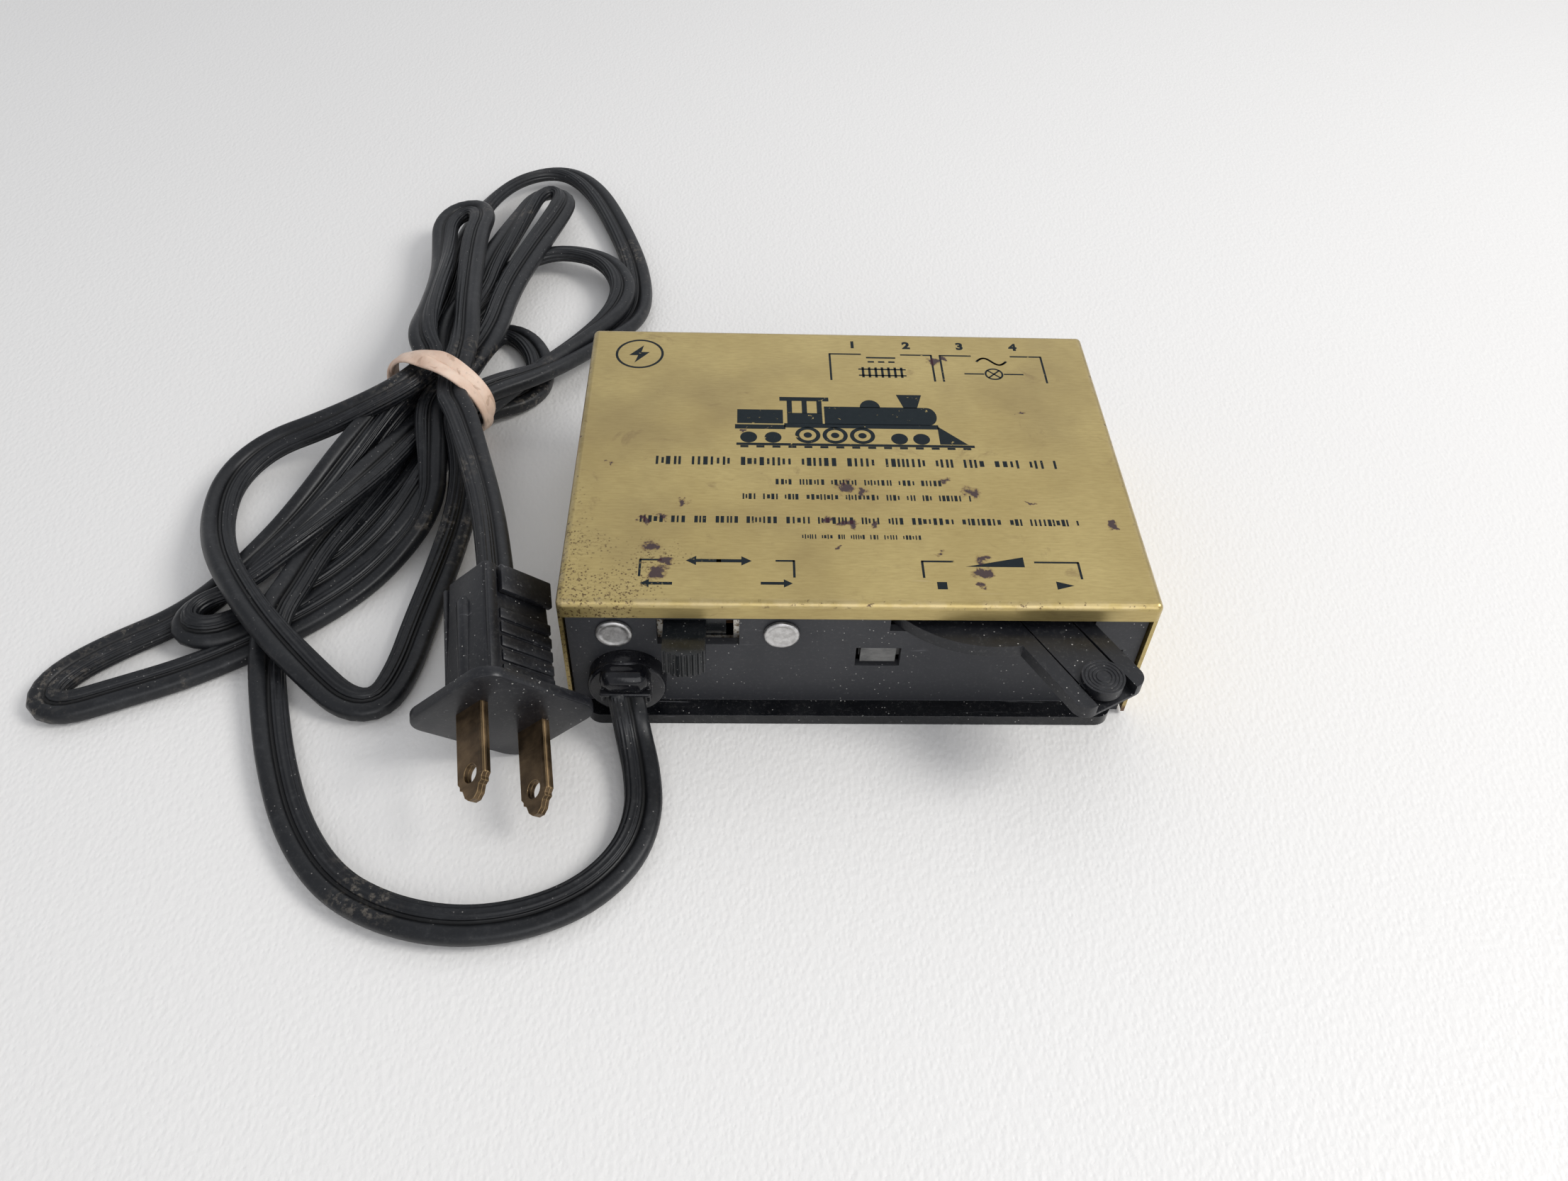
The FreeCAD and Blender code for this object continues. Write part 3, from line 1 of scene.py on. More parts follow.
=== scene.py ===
"""Looks of the train set controller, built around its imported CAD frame.

Metres. +X runs right along the front, +Y to the back, +Z up; the table is at z = 0.
Lengths written in millimetres pass through mm() or MM.
"""

import json
import math
import random

import bmesh
import bpy
import numpy as np
from mathutils import Matrix, Vector


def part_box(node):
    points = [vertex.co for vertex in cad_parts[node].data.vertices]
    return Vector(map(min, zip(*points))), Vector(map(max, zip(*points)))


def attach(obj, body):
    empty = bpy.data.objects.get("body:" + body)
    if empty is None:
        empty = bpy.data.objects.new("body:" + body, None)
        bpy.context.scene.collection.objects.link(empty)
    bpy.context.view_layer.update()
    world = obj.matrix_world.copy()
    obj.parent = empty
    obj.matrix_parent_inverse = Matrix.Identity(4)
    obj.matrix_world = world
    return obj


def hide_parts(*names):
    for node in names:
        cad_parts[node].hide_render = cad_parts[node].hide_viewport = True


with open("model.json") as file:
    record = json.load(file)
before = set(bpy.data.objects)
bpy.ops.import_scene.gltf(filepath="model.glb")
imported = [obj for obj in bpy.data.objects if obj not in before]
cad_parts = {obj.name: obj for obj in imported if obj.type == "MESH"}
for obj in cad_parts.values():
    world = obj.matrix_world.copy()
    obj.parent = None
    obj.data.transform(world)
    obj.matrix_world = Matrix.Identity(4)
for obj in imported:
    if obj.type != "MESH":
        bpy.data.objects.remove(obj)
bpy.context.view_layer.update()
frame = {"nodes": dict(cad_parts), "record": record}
scene = bpy.context.scene

MM = 0.001
LID_LOW, LID_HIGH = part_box("lid")
LID_TOP = LID_HIGH.z
WALL_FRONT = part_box("switch_rivets")[0].y + 0.9 * MM
TOE_BACK = WALL_FRONT - 0.05 * MM


def mm(*values):
    """A point given in millimetres, in metres."""
    return Vector(values) * MM


# ---------------------------------------------------------------- camera, floor and light

def add_camera():
    """The photograph's view: from the front, well above, turned a little to the right."""
    pitch, yaw, roll = (math.radians(a) for a in (46.792, 3.253, -2.868))
    forward = Vector((math.sin(yaw) * math.cos(pitch), math.cos(yaw) * math.cos(pitch), -math.sin(pitch)))
    right = Vector((math.cos(yaw), -math.sin(yaw), 0))
    down = forward.cross(right)
    rolled_right = right * math.cos(roll) + down * math.sin(roll)
    rolled_down = down * math.cos(roll) - right * math.sin(roll)
    data = bpy.data.cameras.new("camera")
    data.sensor_width = 36.0
    data.lens = 28.08
    data.clip_start = 0.01
    data.clip_end = 20.0
    camera = bpy.data.objects.new("camera", data)
    axes = Matrix((rolled_right, -rolled_down, -forward)).transposed()
    camera.matrix_world = Matrix.Translation(mm(-20.95, -174.69, 178.6)) @ axes.to_4x4()
    scene.collection.objects.link(camera)
    scene.camera = camera


def add_light(name, place, target, side, power, tint):
    """A square soft light that faces its target."""
    data = bpy.data.lights.new(name, "AREA")
    data.shape = "SQUARE"
    data.size = side
    data.energy = power
    data.color = tint
    light = bpy.data.objects.new(name, data)
    light.location = place
    light.rotation_euler = (Vector(target) - Vector(place)).to_track_quat("-Z", "Y").to_euler()
    scene.collection.objects.link(light)


def add_lights():
    """A key light from the right, a broad window behind, and a soft fill from the front."""
    add_light("key", (0.62, -0.1, 0.66), (0, 0, 0), 0.34, 4.4, (1.0, 0.99, 0.97))
    add_light("window", (0.3, 1.1, 1.1), (0, 0, 0), 1.4, 2.5, (1.0, 0.995, 0.985))
    add_light("fill", (0.3, -1.1, 0.75), (0, 0, 0.01), 1.0, 5.4, (0.985, 0.985, 1.0))
    world = bpy.data.worlds.new("studio")
    world.use_nodes = True
    back = world.node_tree.nodes["Background"]
    back.inputs["Color"].default_value = (0.93, 0.95, 1.0, 1.0)
    back.inputs["Strength"].default_value = 0.52
    scene.world = world
    scene.view_settings.view_transform = "Standard"
    scene.view_settings.look = "None"


# ---------------------------------------------------------------- material helpers

class Shader:
    """A node material with short ways to add nodes and link them."""

    def __init__(self, name, color, rough, metallic=0.0):
        self.material = bpy.data.materials.new(name)
        self.material.use_nodes = True
        self.tree = self.material.node_tree
        self.surface = self.tree.nodes["Principled BSDF"]
        self.surface.inputs["Base Color"].default_value = (*color, 1.0)
        self.surface.inputs["Roughness"].default_value = rough
        self.surface.inputs["Metallic"].default_value = metallic
        self.place = self.tree.nodes.new("ShaderNodeTexCoord").outputs["Object"]

    def link(self, source, target):
        """Joins an output to an input."""
        self.tree.links.new(source, target)

    def add(self, kind, **sockets):
        """A node whose named sockets take a number, a colour or another node's output."""
        made = self.tree.nodes.new(kind)
        for name, value in sockets.items():
            self.feed(made.inputs[name.replace("_", " ")], value)
        return made

    def feed(self, socket, value):
        """Gives an input another node's output or a constant."""
        if isinstance(value, bpy.types.NodeSocket):
            self.link(value, socket)
        else:
            socket.default_value = value

    def stretched(self, scale, turn=(0, 0, 0)):
        """The place in the object, scaled on each axis."""
        made = self.add("ShaderNodeMapping", Vector=self.place)
        made.inputs["Scale"].default_value = scale
        made.inputs["Rotation"].default_value = turn
        return made.outputs["Vector"]

    def noise(self, scale, detail=4.0, rough=0.55, place=None, distortion=0.0):
        """A cloudy value between 0 and 1."""
        made = self.add("ShaderNodeTexNoise", Vector=place or self.place, Scale=scale, Detail=detail)
        made.inputs["Roughness"].default_value = rough
        made.inputs["Distortion"].default_value = distortion
        return made.outputs["Fac"]

    def cells(self, scale, place=None, feature="F1"):
        """A cellular pattern: how far each point is from its cell's middle."""
        made = self.add("ShaderNodeTexVoronoi", Vector=place or self.place, Scale=scale)
        made.feature = feature
        made.inputs["Randomness"].default_value = 1.0
        return made.outputs["Distance"]

    def ramp(self, source, low, high, top=1.0):
        """A grey value that rises evenly from 0 to the top as another goes from low to high."""
        made = self.tree.nodes.new("ShaderNodeValToRGB")
        self.link(source, made.inputs["Fac"])
        for end, (position, value) in zip(made.color_ramp.elements, ((low, 0.0), (high, top))):
            end.position = position
            end.color = (value, value, value, 1.0)
        return made.outputs["Color"]

    def span(self, source, low, high, to_low=0.0, to_high=1.0):
        """Maps one range of values smoothly on another."""
        made = self.add("ShaderNodeMapRange", Value=source)
        made.interpolation_type = "SMOOTHSTEP"
        for name, value in (("From Min", low), ("From Max", high), ("To Min", to_low), ("To Max", to_high)):
            made.inputs[name].default_value = value
        return made.outputs["Result"]

    def math(self, operation, first, second=0.0):
        """One sum on one or two values."""
        made = self.tree.nodes.new("ShaderNodeMath")
        made.operation = operation
        self.feed(made.inputs[0], first)
        self.feed(made.inputs[1], second)
        return made.outputs["Value"]

    def times(self, first, second):
        """Two values multiplied."""
        return self.math("MULTIPLY", first, second)

    def stripes(self, across, waves):
        """Even ridges along a distance, as a wave between 0 and 1; waves are in radians a metre."""
        wave = self.math("SINE", self.times(across, waves))
        return self.math("ADD", self.times(wave, 0.5), 0.5)

    def mix(self, amount, first, second):
        """A colour between two."""
        made = self.tree.nodes.new("ShaderNodeMix")
        made.data_type = "RGBA"
        self.feed(made.inputs["Factor"], amount)
        for index, value in ((6, first), (7, second)):
            if isinstance(value, tuple):
                value = (*value[:3], 1.0)
            self.feed(made.inputs[index], value)
        return made.outputs[2]

    def tint(self, color, other, source, low, high, most=1.0):
        """A colour moved towards another as a value goes from low to high."""
        return self.mix(self.span(source, low, high, 0.0, most), color, other)

    def separate(self):
        """The place in the object, as x, y and z."""
        return self.add("ShaderNodeSeparateXYZ", Vector=self.place).outputs

    def bump(self, height, distance, strength, normal=None):
        """The surface direction with a relief on it."""
        made = self.add("ShaderNodeBump", Height=height)
        made.inputs["Strength"].default_value = strength
        made.inputs["Distance"].default_value = distance
        if normal is not None:
            self.link(normal, made.inputs["Normal"])
        return made.outputs["Normal"]

    def paint(self, color=None, rough=None, metallic=None, normal=None, **fixed):
        """Links what varies to the surface and sets what doesn't."""
        varied = {"Base Color": color, "Roughness": rough, "Metallic": metallic, "Normal": normal}
        for name, value in varied.items():
            if value is not None:
                self.feed(self.surface.inputs[name], value)
        for name, value in fixed.items():
            self.surface.inputs[name.replace("_", " ")].default_value = value
        return self.material


def rounded(shader, radius):
    """The surface direction with its sharp edges rounded off."""
    bevel = shader.add("ShaderNodeBevel", Radius=radius)
    bevel.samples = 6
    return bevel.outputs["Normal"]


def worn_edge(shader, direction):
    """How far a surface point is on a sharp edge, from 0 to 1."""
    flat_from, edge_from = 0.995, 0.93
    flat = shader.tree.nodes.new("ShaderNodeNewGeometry").outputs["True Normal"]
    compare = shader.tree.nodes.new("ShaderNodeVectorMath")
    compare.operation = "DOT_PRODUCT"
    shader.link(direction, compare.inputs[0])
    shader.link(flat, compare.inputs[1])
    return shader.span(compare.outputs["Value"], edge_from, flat_from, 1.0, 0.0)


# ---------------------------------------------------------------- mesh helpers

def new_object(name, verts, faces, material):
    """A smooth mesh object with one material."""
    mesh = bpy.data.meshes.new(name)
    mesh.from_pydata([tuple(v) for v in verts], [], faces)
    mesh.materials.append(material)
    mesh.polygons.foreach_set("use_smooth", [True] * len(mesh.polygons))
    mesh.update()
    made = bpy.data.objects.new(name, mesh)
    scene.collection.objects.link(made)
    return made


def solid_of(data):
    """The mesh that a curve or a text makes; the curve or text is removed."""
    holder = bpy.data.objects.new("holder", data)
    scene.collection.objects.link(holder)
    mesh = bpy.data.meshes.new_from_object(holder)
    bpy.data.objects.remove(holder)
    bpy.data.curves.remove(data)
    return mesh


def smooth_by_angle(thing, degrees):
    """Shades a mesh smooth except over edges sharper than the angle."""
    mesh = thing.data
    mesh.polygons.foreach_set("use_smooth", [True] * len(mesh.polygons))
    made = bmesh.new()
    made.from_mesh(mesh)
    limit = math.radians(degrees)
    for edge in made.edges:
        edge.smooth = len(edge.link_faces) == 2 and edge.calc_face_angle() < limit
    made.to_mesh(mesh)
    made.free()


# ---------------------------------------------------------------- cord

CORD_W = 6.4 * MM
CORD_THICK = 3.2 * MM
SAMPLE = 1.6 * MM

# The route in millimetres: from the strain relief round the front to the hank, then the hank's folds
# in turn, behind the rubber band (upper) and in front of it (lower), and last the lead to the plug.
FRONT_LOOP = [
    (-40.0, -41.6, 11.6), (-39.9, -41.9, 8.4), (-39.4, -43.4, 5.2), (-38.4, -46.9, 3.0),
    (-37.0, -52.4, 2.4), (-36.0, -60.8, 2.4), (-38.2, -69.4, 2.4), (-44.6, -76.6, 2.4),
    (-54.0, -80.8, 2.4), (-64.6, -82.0, 2.4), (-75.4, -79.8, 2.4), (-85.4, -74.4, 2.4),
    (-93.6, -64.2, 2.4), (-99.6, -51.6, 2.4), (-104.2, -38.8, 2.4), (-107.4, -27.2, 3.4),
]
RISE = [
    (-107.5, -19.5, 5.8), (-105.5, -12.0, 5.8), (-103.8, -2.5, 5.4), (-99.5, 10.0, 4.6), (-95.5, 24.0, 3.6),
]
UPPER_SHORT = [
    (-82.5, 66.5, 3.0), (-79.0, 76.5, 2.2), (-72.0, 73.5, 2.0), (-67.0, 63.0, 2.0), (-67.5, 50.5, 2.4),
]
LOWER_SHORT = [
    (-89.0, 20.0, 3.6), (-96.5, 4.0, 2.2), (-100.4, -3.4, 2.0), (-105.6, -4.6, 2.0), (-107.6, 1.2, 2.2),
    (-106.4, 13.0, 2.6), (-101.6, 27.0, 4.4),
]
UPPER_ROUND = [
    (-90.0, 62.0, 6.4), (-86.0, 76.0, 5.8), (-83.0, 87.5, 5.4), (-79.5, 99.0, 5.2), (-72.0, 106.5, 5.0),
    (-64.5, 108.0, 5.0), (-55.0, 104.0, 5.2), (-49.5, 93.0, 5.4), (-50.5, 81.5, 5.6), (-56.5, 71.0, 5.6),
    (-65.0, 58.5, 6.4),
]
LOWER_BENT = [
    (-87.2, 14.5, 5.4), (-90.4, 5.5, 4.2), (-96.0, -2.5, 2.4), (-102.5, -10.5, 2.0),
    (-111.5, -18.5, 3.2), (-117.6, -24.0, 4.6), (-123.6, -23.0, 5.2), (-123.0, -17.0, 5.2),
    (-116.0, -12.2, 4.9), (-108.5, -5.0, 8.2), (-101.0, 8.0, 8.8),
]
UPPER_SLIM = [
    (-89.0, 64.0, 10.4), (-84.5, 84.0, 8.4), (-83.6, 98.0, 8.0), (-80.4, 112.0, 7.8), (-77.8, 124.5, 7.4),
    (-76.0, 131.6, 7.4), (-71.8, 134.6, 7.4), (-68.2, 131.2, 7.4), (-68.8, 124.0, 7.6), (-73.6, 103.0, 8.4),
    (-77.5, 84.0, 8.8), (-78.0, 62.0, 10.6),
]
LOWER_LONG = [
    (-84.4, 22.0, 9.8), (-83.0, 9.0, 5.6), (-91.0, -5.0, 2.6), (-100.0, -15.5, 2.0),
    (-111.0, -24.5, 2.0), (-121.0, -31.0, 2.0), (-132.0, -36.0, 2.0), (-140.0, -39.6, 2.0),
    (-144.2, -38.0, 2.0), (-143.6, -32.4, 2.0), (-137.0, -25.5, 2.0), (-124.0, -16.5, 2.0),
    (-113.5, 1.0, 3.6), (-108.0, 10.0, 6.2), (-101.8, 25.0, 9.4),
]
UPPER_LARGE = [
    (-92.5, 62.0, 10.6), (-92.0, 88.0, 7.0), (-92.5, 112.0, 5.2), (-90.5, 128.5, 5.0), (-84.5, 143.0, 4.6),
    (-76.0, 151.0, 4.0), (-68.0, 150.0, 4.0), (-60.5, 141.0, 3.6), (-53.5, 124.0, 3.0), (-47.5, 104.5, 2.8),
    (-45.5, 89.0, 2.8), (-47.5, 78.0, 3.2), (-54.5, 67.0, 4.8), (-64.5, 53.0, 8.0),
]
LOWER_ROUND = [
    (-77.6, 21.0, 8.5), (-77.0, 9.0, 5.5), (-79.0, -5.0, 3.2), (-81.0, -19.0, 2.4),
    (-82.0, -30.0, 2.1), (-84.5, -38.0, 2.0), (-90.5, -38.5, 2.4), (-97.0, -33.5, 4.6),
    (-105.0, -27.0, 8.4), (-112.0, -19.0, 9.2), (-120.0, -7.5, 8.4), (-126.0, 7.0, 4.6),
    (-127.0, 20.0, 4.0), (-121.0, 29.0, 5.6), (-109.0, 32.0, 9.0), (-98.0, 35.0, 13.2),
]
UPPER_RAISED = [
    (-92.0, 54.5, 16.6), (-92.5, 72.5, 14.0), (-93.4, 90.0, 11.4), (-95.8, 104.0, 9.2),
    (-97.4, 113.0, 8.8), (-95.4, 119.4, 9.0), (-90.2, 120.2, 10.0), (-87.0, 114.6, 11.2),
    (-87.6, 103.0, 12.2), (-85.0, 77.0, 13.4), (-81.5, 54.0, 16.4),
]
PLUG_LEAD = [
    (-78.8, 28.6, 16.2), (-74.4, 15.6, 16.4), (-69.8, 1.6, 17.2), (-66.2, -11.4, 18.4),
    (-63.4, -24.5, 19.9),
]

# Where each strand passes through the rubber band: across and up from its middle, in millimetres,
# and how far it moves across for each millimetre along.
WAIST = [
    (-3.6, -6.8, 0.0), (3.6, -6.8, 0.0), (-7.4, -3.2, 0.0), (7.4, -3.1, 0.0), (0.0, -3.2, 0.0),
    (0.4, 0.6, 0.0), (-7.4, 0.6, 0.0), (7.6, 0.9, 0.0), (-4.2, 4.4, 0.0), (4.6, 5.3, -0.6),
]
WAIST_HALF = 4.5 * MM

BAND_LOW, BAND_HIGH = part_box("rubber_band")
BAND_MIDDLE = (BAND_LOW + BAND_HIGH) / 2
BAND_TURN = math.radians(-28.6)
BAND_ALONG = Vector((-math.sin(BAND_TURN), math.cos(BAND_TURN), 0))
BAND_ACROSS = Vector((math.cos(BAND_TURN), math.sin(BAND_TURN), 0))


def waist_point(strand, along):
    """A strand's place in the rubber band, a little before or after its middle."""
    across, up, lean = WAIST[strand]
    aside = BAND_ACROSS * (across * MM + lean * along)
    return BAND_MIDDLE + aside + BAND_ALONG * along + Vector((0, 0, up * MM))


def cord_route():
    """The whole cord, from the strain relief through the tied hank to the plug."""
    lobes = [UPPER_SHORT, LOWER_SHORT, UPPER_ROUND, LOWER_BENT, UPPER_SLIM, LOWER_LONG, UPPER_LARGE,
             LOWER_ROUND, UPPER_RAISED]
    points = [mm(*p) for p in FRONT_LOOP + RISE]
    for strand, lobe in enumerate([*lobes, PLUG_LEAD]):
        way = 1 if strand % 2 == 0 else -1
        points.append(waist_point(strand, -way * WAIST_HALF))
        points.append(waist_point(strand, way * WAIST_HALF))
        points.extend(mm(*p) for p in lobe)
    return points


def smooth_line(points):
    """The smooth NURBS line of a route, as closely spaced points."""
    curve = bpy.data.curves.new("cord_line", "CURVE")
    curve.dimensions = "3D"
    spline = curve.splines.new("NURBS")
    spline.points.add(len(points) - 1)
    for target, point in zip(spline.points, points):
        target.co = (*point, 1.0)
    spline.order_u = 3
    spline.use_endpoint_u = True
    spline.resolution_u = 12
    mesh = solid_of(curve)
    line = np.array([v.co[:] for v in mesh.vertices])
    bpy.data.meshes.remove(mesh)
    return line


def evenly(line, step):
    """The same line with its points the same distance apart."""
    gaps = np.linalg.norm(np.diff(line, axis=0), axis=1)
    reach = np.concatenate([[0.0], np.cumsum(gaps)])
    marks = np.linspace(0, reach[-1], int(reach[-1] / step) + 1)
    return np.stack([np.interp(marks, reach, line[:, axis]) for axis in range(3)], axis=1), marks


def soften_rows(rows, passes):
    """Rows averaged with their neighbours, ends kept."""
    for _ in range(passes):
        rows[1:-1] = (rows[:-2] + 2 * rows[1:-1] + rows[2:]) / 4
    return rows


def unit(rows):
    """Rows scaled to length 1."""
    return rows / np.maximum(np.linalg.norm(rows, axis=1, keepdims=True), 1e-9)


def cord_section():
    """The flat twin section: two squarish halves with a slit between, one half finely ribbed."""
    half = CORD_W / 4
    opening = 0.5
    rib_count = 14
    outline = []
    for side, steps in ((1, 72), (-1, 26)):
        start = opening - math.pi if side > 0 else opening
        for step in range(steps):
            angle = start + (2 * math.pi - 2 * opening) * step / (steps - 1)
            reach = CORD_THICK / 2
            if side > 0:
                reach += 0.08 * MM * math.cos(angle * rib_count)
            across = math.copysign(abs(math.cos(angle)) ** 0.8, math.cos(angle))
            up = math.copysign(abs(math.sin(angle)) ** 0.8, math.sin(angle))
            outline.append((side * half + reach * across, reach * up))
    return np.array(outline)


def cord_mesh(material):
    """The cord as a flat twin tube that follows the route and rolls gently as it goes."""
    line, marks = evenly(smooth_line(cord_route()), SAMPLE)
    along = unit(np.gradient(line, axis=0))
    up = np.array([0.0, 0.0, 1.0])
    across = unit(soften_rows(unit(np.cross(along, up)), 6))
    clear = line[:, 2] - CORD_THICK / 2 - 0.1 * MM
    most = np.clip(clear / (CORD_W / 2), 0.0, 0.75)
    from_band = np.linalg.norm(line - np.array(BAND_MIDDLE), axis=1)
    most *= np.clip((from_band - 9 * MM) / (14 * MM), 0.0, 1.0)
    roll = most * (0.75 * np.sin(marks / 0.031) + 0.25 * np.sin(marks / 0.0127 + 1.0))
    roll = soften_rows(roll[:, None], 8)[:, 0]
    normal = unit(np.cross(across, along))
    cos, sin = np.cos(roll)[:, None], np.sin(roll)[:, None]
    wide = across * cos + normal * sin
    thick = normal * cos - across * sin
    section = cord_section()
    rings = line[:, None] + section[None, :, :1] * wide[:, None] + section[None, :, 1:] * thick[:, None]
    count = len(section)
    verts = rings.reshape(-1, 3)
    faces = []
    for ring in range(len(line) - 1):
        base = ring * count
        for n in range(count):
            after = (n + 1) % count
            faces.append((base + n, base + after, base + count + after, base + count + n))
    faces.append(tuple(range(count - 1, -1, -1)))
    last = (len(line) - 1) * count
    faces.append(tuple(range(last, last + count)))
    cord = new_object("mains_cord", verts, faces, material)
    # How near each outline point is to the slit, kept on the mesh so that the material can paint shade into
    # the groove.
    depth = 1 - np.abs(section[:, 0]) / (0.35 * CORD_W / 2)
    groove = cord.data.attributes.new("groove", "FLOAT", "POINT")
    groove.data.foreach_set("value", np.tile(np.clip(depth, 0.0, 1.0), len(line)))
    return cord, line


# ---------------------------------------------------------------- rubber band

BAND_WIDE = 3.0 * MM
BAND_GAUGE = 0.9 * MM


def band_mesh(name, phase, swell, material):
    """One loop of the twisted rubber band, leaning to and fro as it goes round the hank."""
    steps = 180
    half_wide, half_gauge = BAND_WIDE / 2, BAND_GAUGE / 2
    corners = [
        (half_wide * math.copysign(abs(math.cos(a)) ** 0.6, math.cos(a)),
         half_gauge * math.copysign(abs(math.sin(a)) ** 0.6, math.sin(a)))
        for a in (2 * math.pi * n / 16 for n in range(16))
    ]
    verts = []
    for step in range(steps):
        turn = 2 * math.pi * step / steps
        hug = 1 + 0.012 * math.sin(5 * turn + phase)
        out = BAND_ACROSS * math.cos(turn) + Vector((0, 0, math.sin(turn)))
        radial = Vector((12.75 * MM * math.cos(turn), 0, 9.25 * MM * math.sin(turn))) * hug
        centre = BAND_MIDDLE + BAND_ACROSS * radial.x + Vector((0, 0, radial.z))
        centre += out * swell * MM * max(0.0, math.sin(turn + phase))
        centre += BAND_ALONG * 1.45 * MM * math.sin(turn + phase)
        lean = 0.16 * math.sin(2 * turn + phase) + 0.5 * math.exp(-((turn - 1.35 - phase / 9) / 0.22) ** 2)
        wide = BAND_ALONG * math.cos(lean) + out * math.sin(lean)
        thick = out * math.cos(lean) - BAND_ALONG * math.sin(lean)
        for across, through in corners:
            verts.append(centre + wide * across + thick * through)
    count = len(corners)
    faces = []
    for step in range(steps):
        here, after = step * count, (step + 1) % steps * count
        for n in range(count):
            side = (n + 1) % count
            faces.append((here + n, after + n, after + side, here + side))
    return new_object(name, verts, faces, material)


def add_band(material):
    """The rubber band: two loops of the same band, twisted over each other."""
    first = band_mesh("rubber_band_loop", 0.5, 0.0, material)
    second = band_mesh("rubber_band_twist", 3.4, 0.55, material)
    for loop in (first, second):
        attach(loop, "root")
    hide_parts("rubber_band")
    return [first, second]


# ---------------------------------------------------------------- solid builder

def raise_faces(part, axis, level):
    """Extrudes all of a flat shell's faces to a level on an axis, into a closed shell."""
    top = bmesh.ops.extrude_face_region(part, geom=list(part.faces))
    for vert in (v for v in top["geom"] if isinstance(v, bmesh.types.BMVert)):
        vert.co[axis] = level
    bmesh.ops.recalc_face_normals(part, faces=list(part.faces))


class Solids:
    """Closed shells gathered in one mesh, each in local millimetres."""

    def __init__(self):
        self.made = bmesh.new()

    def take(self, part):
        """Adds a shell to the rest."""
        mesh = bpy.data.meshes.new("part")
        part.to_mesh(mesh)
        part.free()
        self.made.from_mesh(mesh)
        bpy.data.meshes.remove(mesh)

    def block(self, x, y, z, round_by=0.3, steps=3, taper=1.0):
        """A box between two planes on each axis; taper scales its low end across."""
        part = bmesh.new()
        bmesh.ops.create_cube(part, size=1.0)
        spans = [(low, high - low) for low, high in (x, y, z)]
        for vert in part.verts:
            vert.co = Vector([low + (c + 0.5) * long for (low, long), c in zip(spans, vert.co)])
            if abs(vert.co.z - z[0]) < 1e-6:
                vert.co.x *= taper
                vert.co.y *= taper
        if round_by:
            bmesh.ops.bevel(part, geom=list(part.edges), offset=round_by, segments=steps, profile=0.5,
                            affect="EDGES")
        self.take(part)

    def prism(self, outline, low, high, round_by=0.0):
        """An outline in x and y, raised between two levels, with its rims rounded."""
        part = bmesh.new()
        base = [part.verts.new((px, py, low)) for px, py in outline]
        part.faces.new(base)
        raise_faces(part, 2, high)
        if round_by:
            rims = [e for e in part.edges if abs(e.verts[0].co.z - e.verts[1].co.z) < 1e-6]
            bmesh.ops.bevel(part, geom=rims, offset=round_by, segments=2, profile=0.5, affect="EDGES")
        self.take(part)

    def turned(self, profile, place=(0, 0, 0), steps=48, axis="z"):
        """A profile of (radius, height) points turned round an axis through a place."""
        part = bmesh.new()
        rows = []
        for radius, height in profile:
            row = []
            for n in range(1 if radius == 0 else steps):
                a = 2 * math.pi * n / steps
                spot = (radius * math.cos(a), radius * math.sin(a), height)
                if axis == "y":
                    spot = (spot[0], spot[2], spot[1])
                row.append(part.verts.new(Vector(spot) + Vector(place)))
            rows.append(row)
        for low, high in zip(rows, rows[1:]):
            for n in range(steps):
                after = n + 1
                ring = [low[n % len(low)], low[after % len(low)]]
                ring += [high[after % len(high)], high[n % len(high)]]
                corners = list(dict.fromkeys(ring))
                if len(corners) > 2:
                    part.faces.new(corners)
        bmesh.ops.recalc_face_normals(part, faces=list(part.faces))
        self.take(part)

    def finish(self, name, material, matrix=None, degrees=35):
        """The object in metres, moved by a matrix, smooth but for edges sharper than the angle."""
        bmesh.ops.transform(self.made, matrix=Matrix.Scale(MM, 4), verts=self.made.verts)
        if matrix is not None:
            bmesh.ops.transform(self.made, matrix=matrix, verts=self.made.verts)
        mesh = bpy.data.meshes.new(name)
        self.made.to_mesh(mesh)
        self.made.free()
        mesh.materials.append(material)
        made = bpy.data.objects.new(name, mesh)
        scene.collection.objects.link(made)
        smooth_by_angle(made, degrees)
        return made


def rounded_outline(wide, tall, radius, steps=8):
    """A rectangle about the origin with rounded corners."""
    points = []
    for corner, (sx, sy) in enumerate(((1, 1), (-1, 1), (-1, -1), (1, -1))):
        for n in range(steps + 1):
            a = math.pi / 2 * (corner + n / steps)
            points.append((sx * (wide / 2 - radius) + radius * math.cos(a),
                           sy * (tall / 2 - radius) + radius * math.sin(a)))
    return points


# ---------------------------------------------------------------- plug

BLADE_PITCH = 12.7
BLADE_WIDE = 6.35


def plug_frame():
    """The plug's own axes: x from blade to blade, z out along the blades."""
    mount = next(m for m in frame["record"]["mounts"] if m["name"] == "mains_plug")
    out = Vector(mount["axis"]).normalized()
    left, right = (sum(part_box(f"plug_blade_{side}"), Vector()) / 2 for side in ("left", "right"))
    across = (right - left).normalized()
    across = (across - out * across.dot(out)).normalized()
    turn = Matrix((across, out.cross(across), out)).transposed()
    return Matrix.Translation(Vector(mount["pos_m"])) @ turn.to_4x4()


